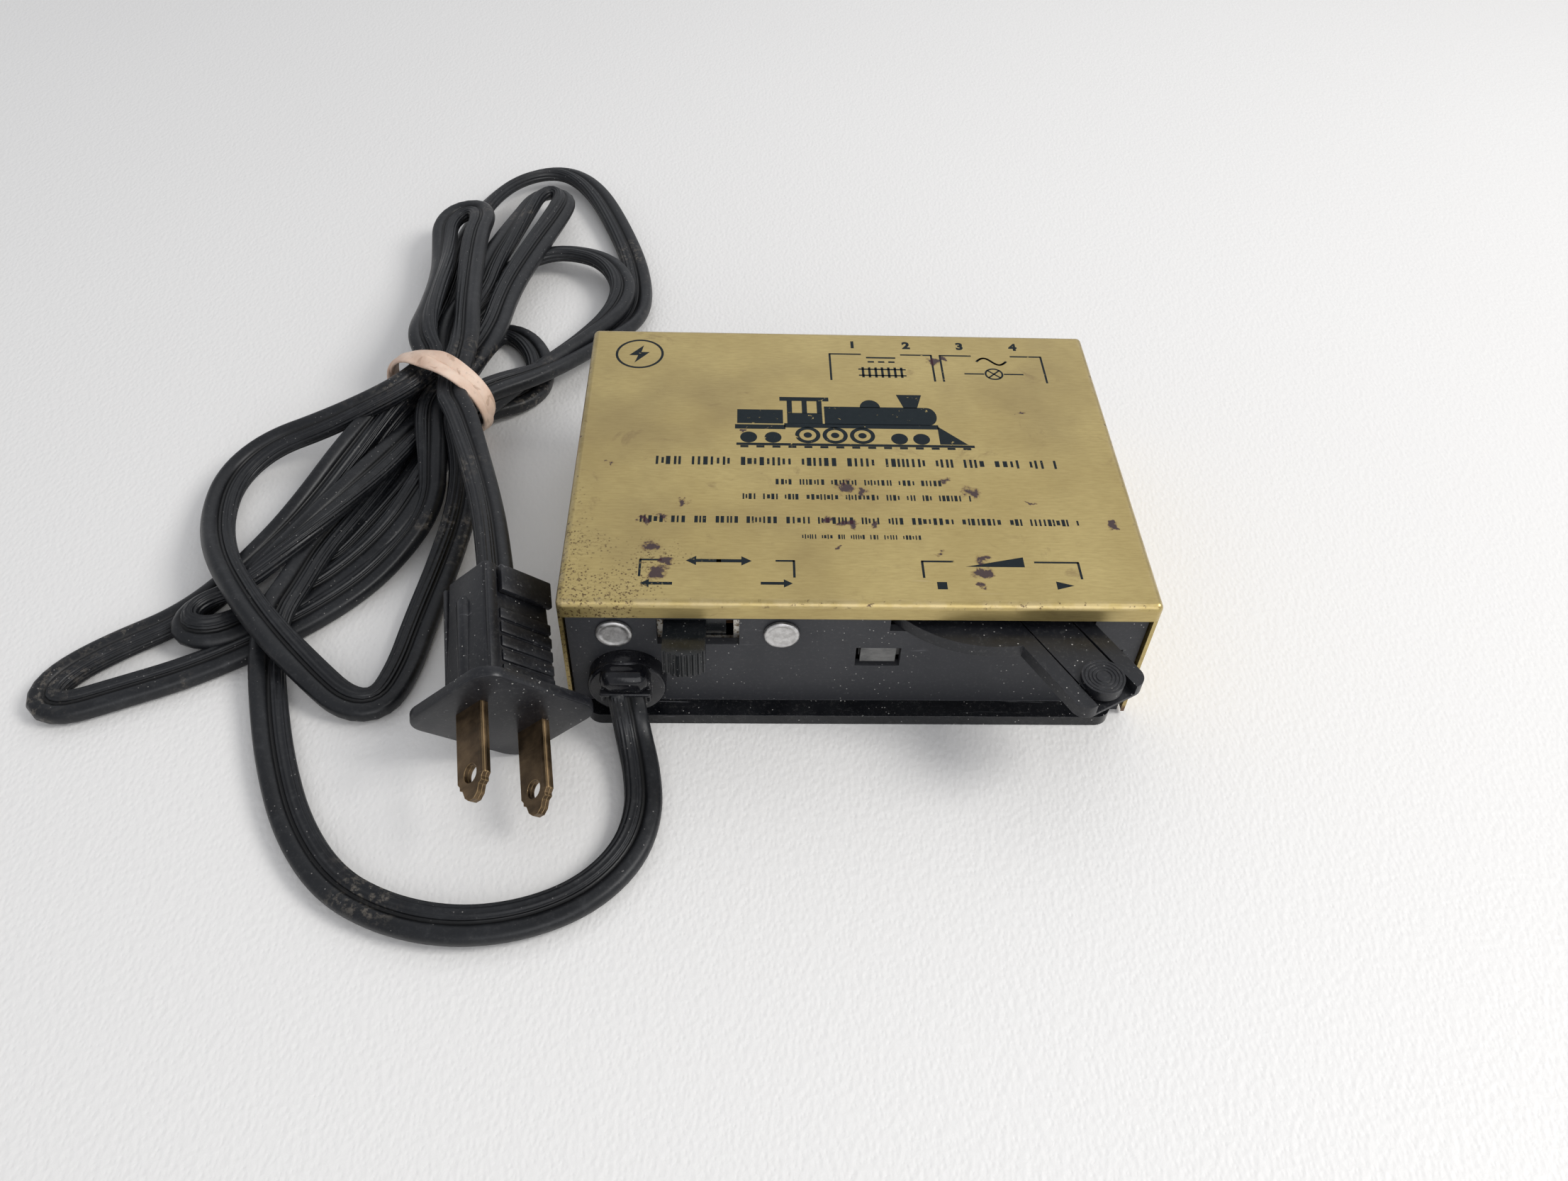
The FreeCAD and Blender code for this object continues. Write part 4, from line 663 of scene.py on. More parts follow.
def add_plug(material):
    """The moulded plug: finger guard, tapered body, grip steps on two faces and a rib on the others."""
    solids = Solids()
    solids.prism(rounded_outline(24.9, 21.7, 4.0), -2.0, 0.0, 0.35)
    solids.block((-7.45, 7.45), (-5.5, 5.5), (-26.6, -1.0), 0.6, 3, 0.9)
    for side in (-1, 1):
        face = 5.2 * side
        outer = 6.1 * side
        low, high = sorted((face, outer))
        solids.block((-7.0, -5.0), (low, high), (-25.6, -1.2), 0.25, 2)
        solids.block((-4.2, 6.9), (low - 0.3 * (side < 0), high + 0.3 * (side > 0)), (-25.9, -20.6), 0.3, 2)
        for n in range(6):
            top = -1.6 - 2.75 * n
            step_low, step_high = sorted((4.9 * side, (5.95 - 0.05 * n) * side))
            solids.block((-4.2, 6.8), (step_low, step_high), (top - 2.1, top), 0.28, 2)
        rib = [(0, -22.0), (0.9, -21.6), (1.5, -20.4), (1.5, -1.2), (0, -1.2)]
        collar = [(0, -3.6), (2.0, -3.6), (2.15, -3.3), (2.15, -1.2), (0, -1.2)]
        solids.turned(rib, (side * 6.5, 0.8 * side, 0), 24)
        solids.turned(collar, (side * 6.4, 0.8 * side, 0), 24)
    body = solids.finish("plug_moulding", material, plug_frame())
    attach(body, "root")
    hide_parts("plug_body")
    return body


def add_blade(side, name, material):
    """A blade folded from one strip: two leaves, a round fold along one edge, a hole and a stepped nose."""
    leaf = 0.7
    half = BLADE_WIDE / 2
    nose = [
        (half, -5.8), (half, 12.4), (half - 0.5, 13.0), (half - 0.5, 13.6), (2.0, 14.0), (1.5, 15.3),
        (0.6, 16.05), (-0.6, 16.05), (-1.5, 15.3), (-2.0, 14.0), (-half + 0.5, 13.6), (-half + 0.5, 13.0),
        (-half, 12.4), (-half, -5.8),
    ]
    hole_r, hole_z = 1.6, 11.6
    seam = 0.04
    solids = Solids()
    for low, high in ((-leaf - seam, -seam), (seam, leaf + seam)):
        part = bmesh.new()
        outline = [part.verts.new((low, y, z)) for y, z in nose]
        rim = [
            part.verts.new((low, hole_r * math.cos(a), hole_z + hole_r * math.sin(a)))
            for a in (2 * math.pi * n / 24 for n in range(24))
        ]
        edges = [part.edges.new((loop[n], loop[(n + 1) % len(loop)])) for loop in (outline, rim)
                 for n in range(len(loop))]
        bmesh.ops.triangle_fill(part, use_beauty=True, edges=edges)
        raise_faces(part, 0, high)
        solids.take(part)
    solids.turned([(0, -5.8), (leaf + 0.03, -5.8), (leaf + 0.03, 12.3), (0, 12.3)], (0, half - 0.62, 0), 16)
    matrix = plug_frame() @ Matrix.Translation(mm(side * BLADE_PITCH / 2, 0, 0))
    blade = solids.finish(name + "_folded", material, matrix)
    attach(blade, "root")
    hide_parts(name)
    return blade


# ---------------------------------------------------------------- print on the lid

def circle(steps):
    """The cosine and sine of even steps round a circle, the first also at the end."""
    return [(math.cos(2 * math.pi * n / steps), math.sin(2 * math.pi * n / steps)) for n in range(steps + 1)]


class Print:
    """Flat ink shapes on the lid's top, in millimetres, each a very thin closed prism."""

    def __init__(self):
        self.solids = Solids()

    def poly(self, points):
        """A shape from its corners."""
        self.solids.prism(points, -0.02, 0.01)

    def bar(self, x, y, wide, tall):
        """A rectangle about its centre."""
        self.poly([(x - wide / 2, y - tall / 2), (x + wide / 2, y - tall / 2),
                   (x + wide / 2, y + tall / 2), (x - wide / 2, y + tall / 2)])

    def disc(self, x, y, radius):
        """A filled circle."""
        self.poly([(x + radius * cos, y + radius * sin) for cos, sin in circle(28)[:-1]])

    def ring(self, x, y, radius, stroke):
        """A flat ring as prisms side by side."""
        inner, outer = radius - stroke / 2, radius + stroke / 2
        rays = circle(40)
        for (c0, s0), (c1, s1) in zip(rays, rays[1:]):
            self.poly([(x + inner * c0, y + inner * s0), (x + outer * c0, y + outer * s0),
                       (x + outer * c1, y + outer * s1), (x + inner * c1, y + inner * s1)])

    def stroke(self, points, wide):
        """A line of even width, as one prism for each run."""
        for (x0, y0), (x1, y1) in zip(points, points[1:]):
            long = math.hypot(x1 - x0, y1 - y0)
            ux, uy = (x1 - x0) / long, (y1 - y0) / long
            h = wide / 2
            lap = h * 0.6
            x0, y0, x1, y1 = x0 - ux * lap, y0 - uy * lap, x1 + ux * lap, y1 + uy * lap
            self.poly([(x0 + uy * h, y0 - ux * h), (x1 + uy * h, y1 - ux * h),
                       (x1 - uy * h, y1 + ux * h), (x0 - uy * h, y0 + ux * h)])

    def ticks(self, x0, x1, y, tall, draw):
        """A row of upright strokes in uneven groups, which stands in for a line of words."""
        x = x0
        while x < x1:
            for _ in range(draw.randint(3, 9)):
                if x > x1:
                    break
                wide = tall * draw.choice((0.2, 0.2, 0.36))
                self.bar(x + wide / 2, y, wide, tall * draw.choice((1.0, 1.0, 0.72)))
                x += wide + tall * draw.uniform(0.14, 0.3)
            x += tall * 0.7

    def bracket(self, x0, x1, gap0, gap1, y, drop):
        """A line over a label, broken in the middle, with both ends turned down."""
        wide = 0.42
        self.stroke([(x0, y - drop), (x0, y), (gap0, y)], wide)
        self.stroke([(gap1, y), (x1, y), (x1, y - drop)], wide)

    def arrow(self, x, y, long, tall, way):
        """A filled arrow that points left or right."""
        tip = x + way * long / 2
        neck = tip - way * tall * 0.8
        tail = x - way * long / 2
        self.poly([(tip, y), (neck, y + tall / 2), (neck, y - tall / 2)][::way])
        self.bar((neck + tail) / 2, y, abs(neck - tail), tall * 0.34)


def half_circle(x, y, wide, tall, start):
    """Points of a half ellipse that starts at an angle and runs anticlockwise."""
    return [(x + wide * math.cos(a), y + tall * math.sin(a))
            for a in (start + math.pi * n / 12 for n in range(13))]


def engine_emblem(ink, x, y):
    """A plain steam engine and tender on a track, the sort of picture any railway toy carries."""
    ink.bar(x, y - 7.3, 45.0, 0.7)
    for n in range(15):
        ink.bar(x - 21.0 + 3.0 * n, y - 8.0, 1.5, 0.6)
    wheels = ((-9.0, 2.4), (-3.8, 2.4), (1.4, 2.4), (8.4, 1.6), (12.6, 1.6), (-20.2, 1.6), (-15.6, 1.6))
    for wheel_x, radius in wheels:
        ink.ring(x + wheel_x, y - 6.9 + radius, radius - 0.4, 0.8)
        ink.disc(x + wheel_x, y - 6.9 + radius, 0.8)
    ink.bar(x + 1.4, y - 1.7, 29.6, 1.3)
    ink.bar(x - 18.0, y - 2.2, 9.6, 1.3)
    ink.bar(x - 18.0, y + 0.9, 8.8, 4.2)
    nose = half_circle(x + 14.4, y + 1.5, 1.8, 2.7, -math.pi / 2)
    ink.poly([(x - 5.6, y - 1.2), *nose, (x - 5.6, y + 4.2)])
    ink.bar(x - 9.4, y + 0.5, 6.8, 3.2)
    for post_x in (-12.3, -9.4, -6.5):
        ink.bar(x + post_x, y + 3.9, 1.0, 3.8)
    ink.bar(x - 9.4, y + 6.4, 9.6, 1.2)
    ink.poly([(x + 10.0, y + 4.0), (x + 12.6, y + 4.0), (x + 13.8, y + 8.2), (x + 8.8, y + 8.2)])
    ink.poly(half_circle(x + 3.4, y + 4.0, 2.0, 2.4, 0.0))
    ink.poly([(x + 16.0, y - 1.4), (x + 16.0, y - 6.8), (x + 21.4, y - 6.8)])


def add_print(material):
    """Numbers, brackets, arrows and symbols: the generic marks that a controller's lid needs."""
    ink = Print()
    draw = random.Random(7)
    ink.ring(-40.9, 30.0, 4.6, 0.5)
    ink.poly([(-40.2, 32.9), (-43.0, 29.5), (-41.2, 29.5), (-41.8, 27.0), (-38.9, 30.6), (-40.6, 30.6)])
    ink.bracket(-2.4, 18.4, 3.9, 12.2, 31.0, 8.6)
    ink.bracket(20.2, 41.0, 26.5, 34.8, 31.0, 8.6)
    ink.bar(8.0, 29.9, 6.0, 0.5)
    for n in range(3):
        ink.bar(5.9 + 2.1 * n, 28.5, 1.3, 0.5)
    for rail in (-1, 1):
        ink.bar(8.0, 25.0 + rail * 1.0, 9.6, 0.4)
    for n in range(7):
        ink.bar(4.1 + 1.3 * n, 25.0, 0.5, 3.4)
    ink.stroke([(27.6 + 6.0 * n / 24, 29.2 + 1.1 * math.sin(2 * math.pi * n / 24)) for n in range(25)], 0.5)
    ink.ring(30.6, 25.0, 1.7, 0.4)
    for way in (-1, 1):
        ink.stroke([(29.4, 25.0 - 1.2 * way), (31.8, 25.0 + 1.2 * way)], 0.35)
        ink.bar(30.6 + way * 4.0, 25.0, 4.0, 0.4)
    engine_emblem(ink, 1.3, 9.6)
    for x0, x1, y, tall in ((-36.0, 38.0, -2.6, 2.3), (-14.0, 16.0, -8.2, 1.5), (-20.0, 21.0, -12.2, 1.5),
                            (-38.0, 40.0, -18.3, 1.7), (-9.6, 10.9, -22.4, 1.1)):
        ink.ticks(x0, x1, y, tall, draw)
    ink.bracket(-37.3, -11.2, -33.8, -14.2, -28.4, 3.8)
    ink.arrow(-26.6, -28.5, 6.0, 2.2, -1)
    ink.arrow(-21.4, -28.5, 6.0, 2.2, 1)
    ink.arrow(-34.4, -33.9, 5.4, 1.9, -1)
    ink.arrow(-14.2, -33.7, 5.4, 1.9, 1)
    ink.bracket(10.8, 37.8, 16.2, 30.3, -28.2, 3.8)
    ink.poly([(18.2, -29.4), (28.4, -29.4), (28.4, -27.0)])
    ink.bar(13.7, -33.9, 1.7, 1.7)
    ink.poly([(33.2, -32.7), (33.2, -34.6), (36.2, -33.65)])
    place = Matrix.Translation(Vector((0, 0, LID_TOP)))
    marks = ink.solids.finish("lid_print", material, place)
    numbers = [add_number(str(n + 1), 2.4 + 11.1 * n, 33.2, material) for n in range(4)]
    for piece in (marks, *numbers):
        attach(piece, "root")


def add_number(text, x, y, material):
    """One terminal number beside the rear edge."""
    data = bpy.data.curves.new("number", "FONT")
    data.body = text
    data.size = 3.1 * MM
    data.offset = 0.16 * MM
    data.extrude = 0.01 * MM
    data.align_x = "CENTER"
    mesh = solid_of(data)
    mesh.transform(Matrix.Translation(Vector((x * MM, y * MM, LID_TOP))))
    mesh.materials.clear()
    mesh.materials.append(material)
    made = bpy.data.objects.new("lid_number_" + text, mesh)
    scene.collection.objects.link(made)
    return made


# ---------------------------------------------------------------- strain relief and rivets

def add_relief(material):
    """The strain relief: a stepped disc on the wall and a glossy domed hood with a thin lip."""
    low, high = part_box("strain_relief")
    radius = (high.x - low.x) / 2 / MM
    middle_x = (high.x + low.x) / 2 / MM
    middle_z = low.z / MM + radius
    wall_front = WALL_FRONT / MM
    solids = Solids()
    neck = high.y / MM - wall_front
    profile = [
        (0, -3.3), (radius - 0.6, -3.3), (radius - 0.2, -3.1), (radius, -2.7), (radius, -0.05), (5.4, -0.05),
        (5.4, neck), (0, neck),
    ]
    solids.turned(profile, (middle_x, wall_front, middle_z), 56, "y")
    front = low.y / MM
    solids.block((middle_x - 4.3, middle_x + 4.3), (front, wall_front - 1.6), (11.3, 15.95), 2.2, 7)
    solids.block((middle_x - 4.4, middle_x + 4.4), (front - 0.05, wall_front - 3.0), (11.1, 11.9), 0.3, 3)
    for side in (-1, 1):
        inner, outer = sorted((middle_x + side * 3.6, middle_x + side * 4.4))
        solids.block((inner, outer), (front + 1.2, wall_front - 3.0), (8.2, 14.0), 0.3, 3)
    relief = solids.finish("strain_relief_moulding", material, None, 40)
    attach(relief, "root")
    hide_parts("strain_relief")


def add_rivets(material):
    """Two flat rivet heads with a raised rim and a shallow dished face."""
    low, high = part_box("switch_rivets")
    radius = (high.z - low.z) / 2 / MM
    middle_z = (high.z + low.z) / 2 / MM
    out = low.y / MM
    solids = Solids()
    for x in (low.x / MM + radius, high.x / MM - radius):
        profile = [
            (0, 0.22), (radius * 0.6, 0.2), (radius * 0.74, 0.14), (radius * 0.8, 0.0), (radius * 0.9, 0.0),
            (radius * 0.98, 0.14), (radius, 0.34), (radius, 0.62), (radius * 0.96, 0.7), (1.6, 0.7),
            (1.6, high.y / MM - out), (0, high.y / MM - out),
        ]
        solids.turned(profile, (x, out, middle_z), 48, "y")
    rivets = solids.finish("rivet_heads", material, None, 50)
    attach(rivets, "root")
    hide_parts("switch_rivets")


# ---------------------------------------------------------------- materials

# Stains on the lid's top: x, y and reach in millimetres.
STAINS = [
    (-34.4, -31.2, 3.6), (-33.2, -28.6, 2.6), (-35.6, -25.0, 3.0), (-37.0, -18.6, 2.2), (-33.6, -17.6, 1.8),
    (-1.4, -9.4, 3.0), (1.6, -11.0, 2.2), (21.4, -10.6, 3.2), (17.2, -7.2, 2.2), (-5.0, -18.4, 2.0),
    (-1.4, -18.8, 2.4), (3.2, -19.0, 2.0), (21.2, -27.6, 2.6), (20.8, -30.4, 3.0), (20.4, -33.6, 1.6),
    (14.2, -26.0, 1.6), (-30.6, -14.2, 1.8), (-3.2, -24.8, 1.4), (18.6, 28.6, 2.4), (20.6, 30.4, 1.8),
    (31.4, -13.0, 1.2), (45.6, -19.0, 1.4), (-44.6, -4.0, 1.2), (-20.0, 6.0, 1.0), (33.6, 12.4, 1.0),
]


def spots(shader, places):
    """How near a surface point is to the nearest of several places on the lid, from 0 to 1."""
    shift = shader.add("ShaderNodeTexNoise", Vector=shader.place, Scale=420.0, Detail=4.0).outputs["Color"]
    warp = shader.tree.nodes.new("ShaderNodeVectorMath")
    warp.operation = "MULTIPLY_ADD"
    shader.link(shift, warp.inputs[0])
    warp.inputs[1].default_value = (0.005, 0.005, 0.0)
    shader.link(shader.place, warp.inputs[2])
    total = None
    for x, y, reach in places:
        offset = shader.tree.nodes.new("ShaderNodeVectorMath")
        offset.operation = "DISTANCE"
        shader.link(warp.outputs["Vector"], offset.inputs[0])
        offset.inputs[1].default_value = (x * MM + 0.0025, y * MM + 0.0025, LID_TOP)
        near = shader.span(offset.outputs["Value"], 0.0, reach * MM, 1.0, 0.0)
        total = near if total is None else shader.math("MAXIMUM", total, near)
    return total


def gold_coat(shader):
    """The lacquer's colour and roughness, with its stains, pits and scratches."""
    mottle = shader.noise(45, 6, 0.62)
    broad = shader.noise(17, 4, 0.6)
    grain = shader.noise(1.0, 3, 0.6, shader.stretched((420, 2400, 2400)))
    patch = shader.ramp(mottle, 0.3, 0.7)
    color = shader.mix(patch, (0.440, 0.334, 0.126), (0.565, 0.447, 0.186))
    color = shader.mix(shader.ramp(grain, 0.35, 0.75, 0.4), color, (0.31, 0.22, 0.076))
    color = shader.tint(color, (0.22, 0.155, 0.065), broad, 0.52, 0.30, 0.45)
    smudge = shader.noise(95, 6, 0.7, distortion=0.7)
    color = shader.tint(color, (0.20, 0.125, 0.055), smudge, 0.60, 0.72, 0.42)
    x, y, _ = shader.separate()
    corner = shader.times(shader.span(x, -0.02, -0.05), shader.span(y, 0.002, -0.034))
    cluster = shader.times(shader.noise(60, 3), 0.8)
    cluster = shader.math("ADD", shader.times(corner, 0.4), cluster)
    pits = shader.span(shader.cells(1300), 0.30, 0.14)
    pits = shader.times(pits, shader.span(cluster, 0.52, 0.68, 0.0, 0.95))
    fine = shader.span(shader.noise(1700, 4, 0.65), 0.54, 0.62)
    fine = shader.times(fine, shader.span(cluster, 0.58, 0.76))
    color = shader.mix(shader.math("MAXIMUM", pits, fine), color, (0.13, 0.08, 0.032))
    ragged = shader.noise(520, 6, 0.7, distortion=0.5)
    stain = shader.math("ADD", shader.times(spots(shader, STAINS), 0.5), ragged)
    core = shader.span(stain, 0.82, 0.90, 0.0, 0.95)
    color = shader.tint(color, (0.17, 0.095, 0.04), stain, 0.68, 0.86, 0.55)
    color = shader.mix(core, color, (0.030, 0.010, 0.016))
    lines = shader.noise(1.0, 2, 0.5, shader.stretched((26, 900, 900), (0, 0, 0.12)), 0.35)
    where = shader.span(shader.noise(55, 2), 0.52, 0.6)
    thin = shader.times(shader.span(lines, 0.705, 0.735), where)
    color = shader.mix(shader.times(thin, 0.7), color, (0.58, 0.47, 0.25))
    rough = shader.math("ADD", shader.span(mottle, 0.3, 0.7, 0.34, 0.42), shader.times(core, 0.3))
    return color, rough, core, pits


def gold_lacquer():
    """Gold-coloured lacquer on steel, rubbed at its bends with a painted highlight along them, and darker in
    brown patches towards its foot.
    """
    shader = Shader("gold_lacquer", (0.42, 0.30, 0.10), 0.34)
    color, rough, core, pits = gold_coat(shader)
    x, y, z = shader.separate()
    side = shader.span(shader.math("ABSOLUTE", x), LID_HIGH.x - 1.6 * MM, LID_HIGH.x - 0.5 * MM)
    front = shader.span(shader.math("ABSOLUTE", y), LID_HIGH.y - 1.6 * MM, LID_HIGH.y - 0.5 * MM)
    high = shader.span(z, LID_TOP - 1.3 * MM, LID_TOP - 0.4 * MM)
    bend = shader.times(shader.math("MAXIMUM", side, front), high)
    # Lighter gold along the bends: partly rubbed lacquer, partly a painted highlight on the bend.
    wear_and_highlight = shader.times(bend, shader.span(shader.noise(260, 5, 0.7), 0.40, 0.62))
    color = shader.mix(shader.times(wear_and_highlight, 0.6), color, (0.56, 0.45, 0.24))
    marks = shader.times(bend, shader.span(shader.noise(900, 4, 0.7), 0.60, 0.66))
    color = shader.mix(marks, color, (0.11, 0.07, 0.035))
    # The walls turn darker brown in noisy patches towards the bottom, in the last few millimetres above the
    # tray.
    foot = shader.times(shader.span(z, 0.006, 0.001), shader.span(shader.noise(300, 5), 0.42, 0.6))
    color = shader.mix(foot, color, (0.12, 0.06, 0.03))
    metallic = shader.math("SUBTRACT", 0.82, shader.times(core, 0.7))
    height = shader.math("SUBTRACT", shader.noise(160, 5), shader.times(pits, 0.6))
    normal = shader.bump(height, 0.00004, 0.35)
    return shader.paint(color, rough, metallic, normal, Coat_Weight=0.35, Coat_Roughness=0.22)


def lid_ink():
    """Dark ink that has worn through to the lacquer in places."""
    shader = Shader("lid_ink", (0.018, 0.026, 0.03), 0.45)
    color, rough, core, pits = gold_coat(shader)
    worn = shader.span(shader.noise(620, 5, 0.7), 0.64, 0.70)
    worn = shader.math("MAXIMUM", worn, shader.times(pits, 0.8))
    ink = shader.mix(shader.noise(900, 2), (0.006, 0.011, 0.014), (0.012, 0.018, 0.022))
    color = shader.mix(worn, ink, color)
    color = shader.mix(core, color, (0.042, 0.014, 0.022))
    return shader.paint(color, shader.math("MAXIMUM", rough, 0.55), None, None, Specular_IOR_Level=0.15)


def dusty(shader, amount, scale=860):
    """Sparse pale specks and lint on a dark moulding."""
    near = shader.cells(scale)
    where = shader.noise(90, 3)
    specks = shader.times(shader.span(near, 0.12, 0.06), shader.span(where, 0.38, 0.56))
    big = shader.times(shader.span(shader.cells(260), 0.05, 0.025), shader.span(where, 0.44, 0.56))
    film = shader.span(shader.noise(1500, 4, 0.7), 0.5, 0.85, 0.0, 0.10)
    total = shader.math("MAXIMUM", shader.math("MAXIMUM", specks, big), film)
    return shader.times(total, amount)


def black_plastic(name, color, rough, dust, round_by):
    """Black moulding with dust, fine scratches and edges that catch the light."""
    return moulded(Shader(name, color, rough), color, rough, dust, round_by)


def tray_moulding():
    """The tray's black moulding: satin on its walls and polished on the toe in front of them, with the toe
    painted far darker as painted shade.
    """
    shader = Shader("tray_moulding", (0.02, 0.02, 0.024), 0.4)
    _, y, _ = shader.separate()
    toe = shader.span(y, TOE_BACK - 0.1 * MM, TOE_BACK + 0.1 * MM, 1.0, 0.0)
    # The toe's near-black colour is painted shade: the walls and the toe are the one moulding, and only the
    # roughness really differs.
    color = shader.mix(toe, (0.041, 0.042, 0.047), (0.0028, 0.0032, 0.0045))
    rough = shader.math("SUBTRACT", 0.58, shader.times(toe, 0.44))
    return moulded(shader, color, rough, 0.8, 0.12 * MM)


def moulded(shader, color, rough, dust, round_by):
    """Adds dust, fine scratches and worn edges to a moulding's colour."""
    soft = rounded(shader, round_by)
    cloud = shader.ramp(shader.noise(130, 5), 0.35, 0.7)
    shade = shader.mix(shader.times(cloud, 0.35), color, (0.03, 0.031, 0.034))
    scratch = shader.noise(1.0, 2, 0.5, shader.stretched((60, 1700, 700), (0.1, 0.2, 0.35)), 0.3)
    where = shader.span(shader.noise(75, 2), 0.5, 0.62)
    lines = shader.times(shader.span(scratch, 0.69, 0.74), where)
    shade = shader.mix(shader.times(lines, 0.5), shade, (0.16, 0.16, 0.17))
    specks = dusty(shader, dust)
    shade = shader.mix(specks, shade, (0.50, 0.49, 0.46))
    uneven = shader.span(shader.noise(500, 4), 0.4, 0.7, 0.1, 0.6)
    edge = shader.times(worn_edge(shader, soft), uneven)
    shade = shader.mix(edge, shade, (0.11, 0.11, 0.115))
    gloss = shader.math("ADD", rough, shader.span(cloud, 0.0, 1.0, -0.05, 0.07))
    gloss = shader.math("ADD", gloss, shader.times(specks, 0.4))
    normal = shader.bump(shader.noise(2600, 3), 0.00002, 0.5, soft)
    return shader.paint(shade, gloss, None, normal, Specular_IOR_Level=0.38)


def cord_rubber():
    """Soft black vinyl with scuffs, lint, a dull bloom, and painted shade with some dirt in its groove."""
    shader = Shader("cord_jacket", (0.02, 0.022, 0.026), 0.5)
    cloud = shader.noise(60, 5, 0.6)
    patches = shader.ramp(cloud, 0.35, 0.7)
    shade = shader.mix(patches, (0.0050, 0.0056, 0.0070), (0.0120, 0.0132, 0.0155))
    bloom = shader.noise(420, 6, 0.7)
    shade = shader.tint(shade, (0.055, 0.057, 0.060), bloom, 0.50, 0.74, 0.26)
    patch = shader.span(shader.noise(33, 4), 0.58, 0.68)
    scuff = shader.times(patch, shader.span(shader.noise(800, 5, 0.7), 0.48, 0.64))
    shade = shader.mix(shader.times(scuff, 0.6), shade, (0.16, 0.14, 0.115))
    specks = dusty(shader, 0.5, 900)
    shade = shader.mix(specks, shade, (0.42, 0.40, 0.38))
    # The slit between the halves is painted near black: painted shade in the groove, with some dirt.
    groove = shader.add("ShaderNodeAttribute")
    groove.attribute_name = "groove"
    shade = shader.tint(shade, (0.002, 0.002, 0.002), groove.outputs["Fac"], 0.35, 0.9, 0.85)
    rough = shader.span(cloud, 0.3, 0.7, 0.34, 0.48)
    normal = shader.bump(shader.noise(3000, 3), 0.00002, 0.6)
    return shader.paint(shade, rough, None, normal, Specular_IOR_Level=0.36)


def blade_brass():
    """Tarnished brass: dark towards the root, brighter where it rubs in a socket."""
    shader = Shader("blade_brass", (0.30, 0.19, 0.085), 0.34, 1.0)
    soft = rounded(shader, 0.2 * MM)
    cloud = shader.noise(170, 6, 0.62)
    patches = shader.ramp(cloud, 0.38, 0.64)
    color = shader.mix(patches, (0.095, 0.064, 0.038), (0.24, 0.165, 0.095))
    bands = shader.noise(1.0, 3, 0.6, shader.stretched((120, 420, 120), (0.3, 0.1, 0.4)))
    color = shader.mix(shader.ramp(bands, 0.5, 0.7, 0.6), color, (0.04, 0.028, 0.019))
    color = shader.mix(shader.times(worn_edge(shader, soft), 0.6), color, (0.46, 0.32, 0.16))
    rough = shader.span(cloud, 0.3, 0.7, 0.30, 0.48)
    normal = shader.bump(shader.noise(1.0, 3, 0.5, shader.stretched((900, 900, 4000))), 0.00001, 0.4, soft)
    return shader.paint(color, rough, None, normal)


def band_rubber():
    """Pale perished rubber: pink and beige, a little waxy."""
    shader = Shader("band_rubber", (0.72, 0.55, 0.44), 0.55)
    cloud = shader.noise(150, 4)
    color = shader.mix(shader.ramp(cloud, 0.35, 0.66), (0.62, 0.42, 0.31), (0.78, 0.61, 0.49))
    color = shader.tint(color, (0.36, 0.26, 0.20), shader.noise(700, 5, 0.7), 0.58, 0.74, 0.5)
    # Thin dark lines where the band would crease: painted shade, since the band's mesh has no such folds.
    crease_shade = shader.span(shader.noise(1.0, 2, 0.5, shader.stretched((420, 420, 110)), 0.6), 0.60, 0.68)
    color = shader.mix(shader.times(crease_shade, 0.55), color, (0.40, 0.26, 0.18))
    normal = shader.bump(shader.noise(1.0, 3, 0.5, shader.stretched((700, 700, 2200))), 0.00003, 0.6)
    return shader.paint(color, 0.5, None, normal, Subsurface_Weight=0.12,
                        Subsurface_Radius=(0.002, 0.001, 0.0007))


def worn_metal(name, dark, light, rough, scale):
    """A metal with cloudy tarnish."""
    shader = Shader(name, light, rough, 1.0)
    cloud = shader.noise(scale, 5, 0.65)
    color = shader.mix(shader.ramp(cloud, 0.38, 0.62), dark, light)
    gloss = shader.span(cloud, 0.3, 0.7, rough - 0.08, rough + 0.12)
    height = shader.noise(scale * 3, 3)
    return shader.paint(color, gloss, None, shader.bump(height, 0.00002, 0.5))


def speckled_zinc():
    """Zinc plate with brown specks breaking through."""
    shader = Shader("zinc_steel", (0.62, 0.60, 0.55), 0.42, 0.9)
    specks = shader.span(shader.noise(1900, 3, 0.6), 0.5, 0.62)
    color = shader.mix(specks, (0.66, 0.63, 0.57), (0.22, 0.16, 0.10))
    return shader.paint(color, shader.span(specks, 0.0, 1.0, 0.36, 0.6), None,
                        shader.bump(shader.noise(1200, 3), 0.00003, 0.5))


# Radians a metre: one turn of wire in 0.4 mm, and one steel sheet in 0.5 mm.
WIRE_WAVES = 15700.0
SHEET_WAVES = 12566.0


def wound_wire():
    """Fine enamelled wire laid turn by turn, under a coat of varnish."""
    shader = Shader("copper_wire", (0.42, 0.17, 0.07), 0.35, 0.7)
    x, _, _ = shader.separate()
    turns = shader.stripes(x, WIRE_WAVES)
    color = shader.mix(turns, (0.16, 0.055, 0.02), (0.50, 0.21, 0.085))
    color = shader.tint(color, (0.20, 0.09, 0.03), shader.noise(240, 4), 0.5, 0.75, 0.5)
    return shader.paint(color, 0.32, None, shader.bump(turns, 0.00012, 0.8))


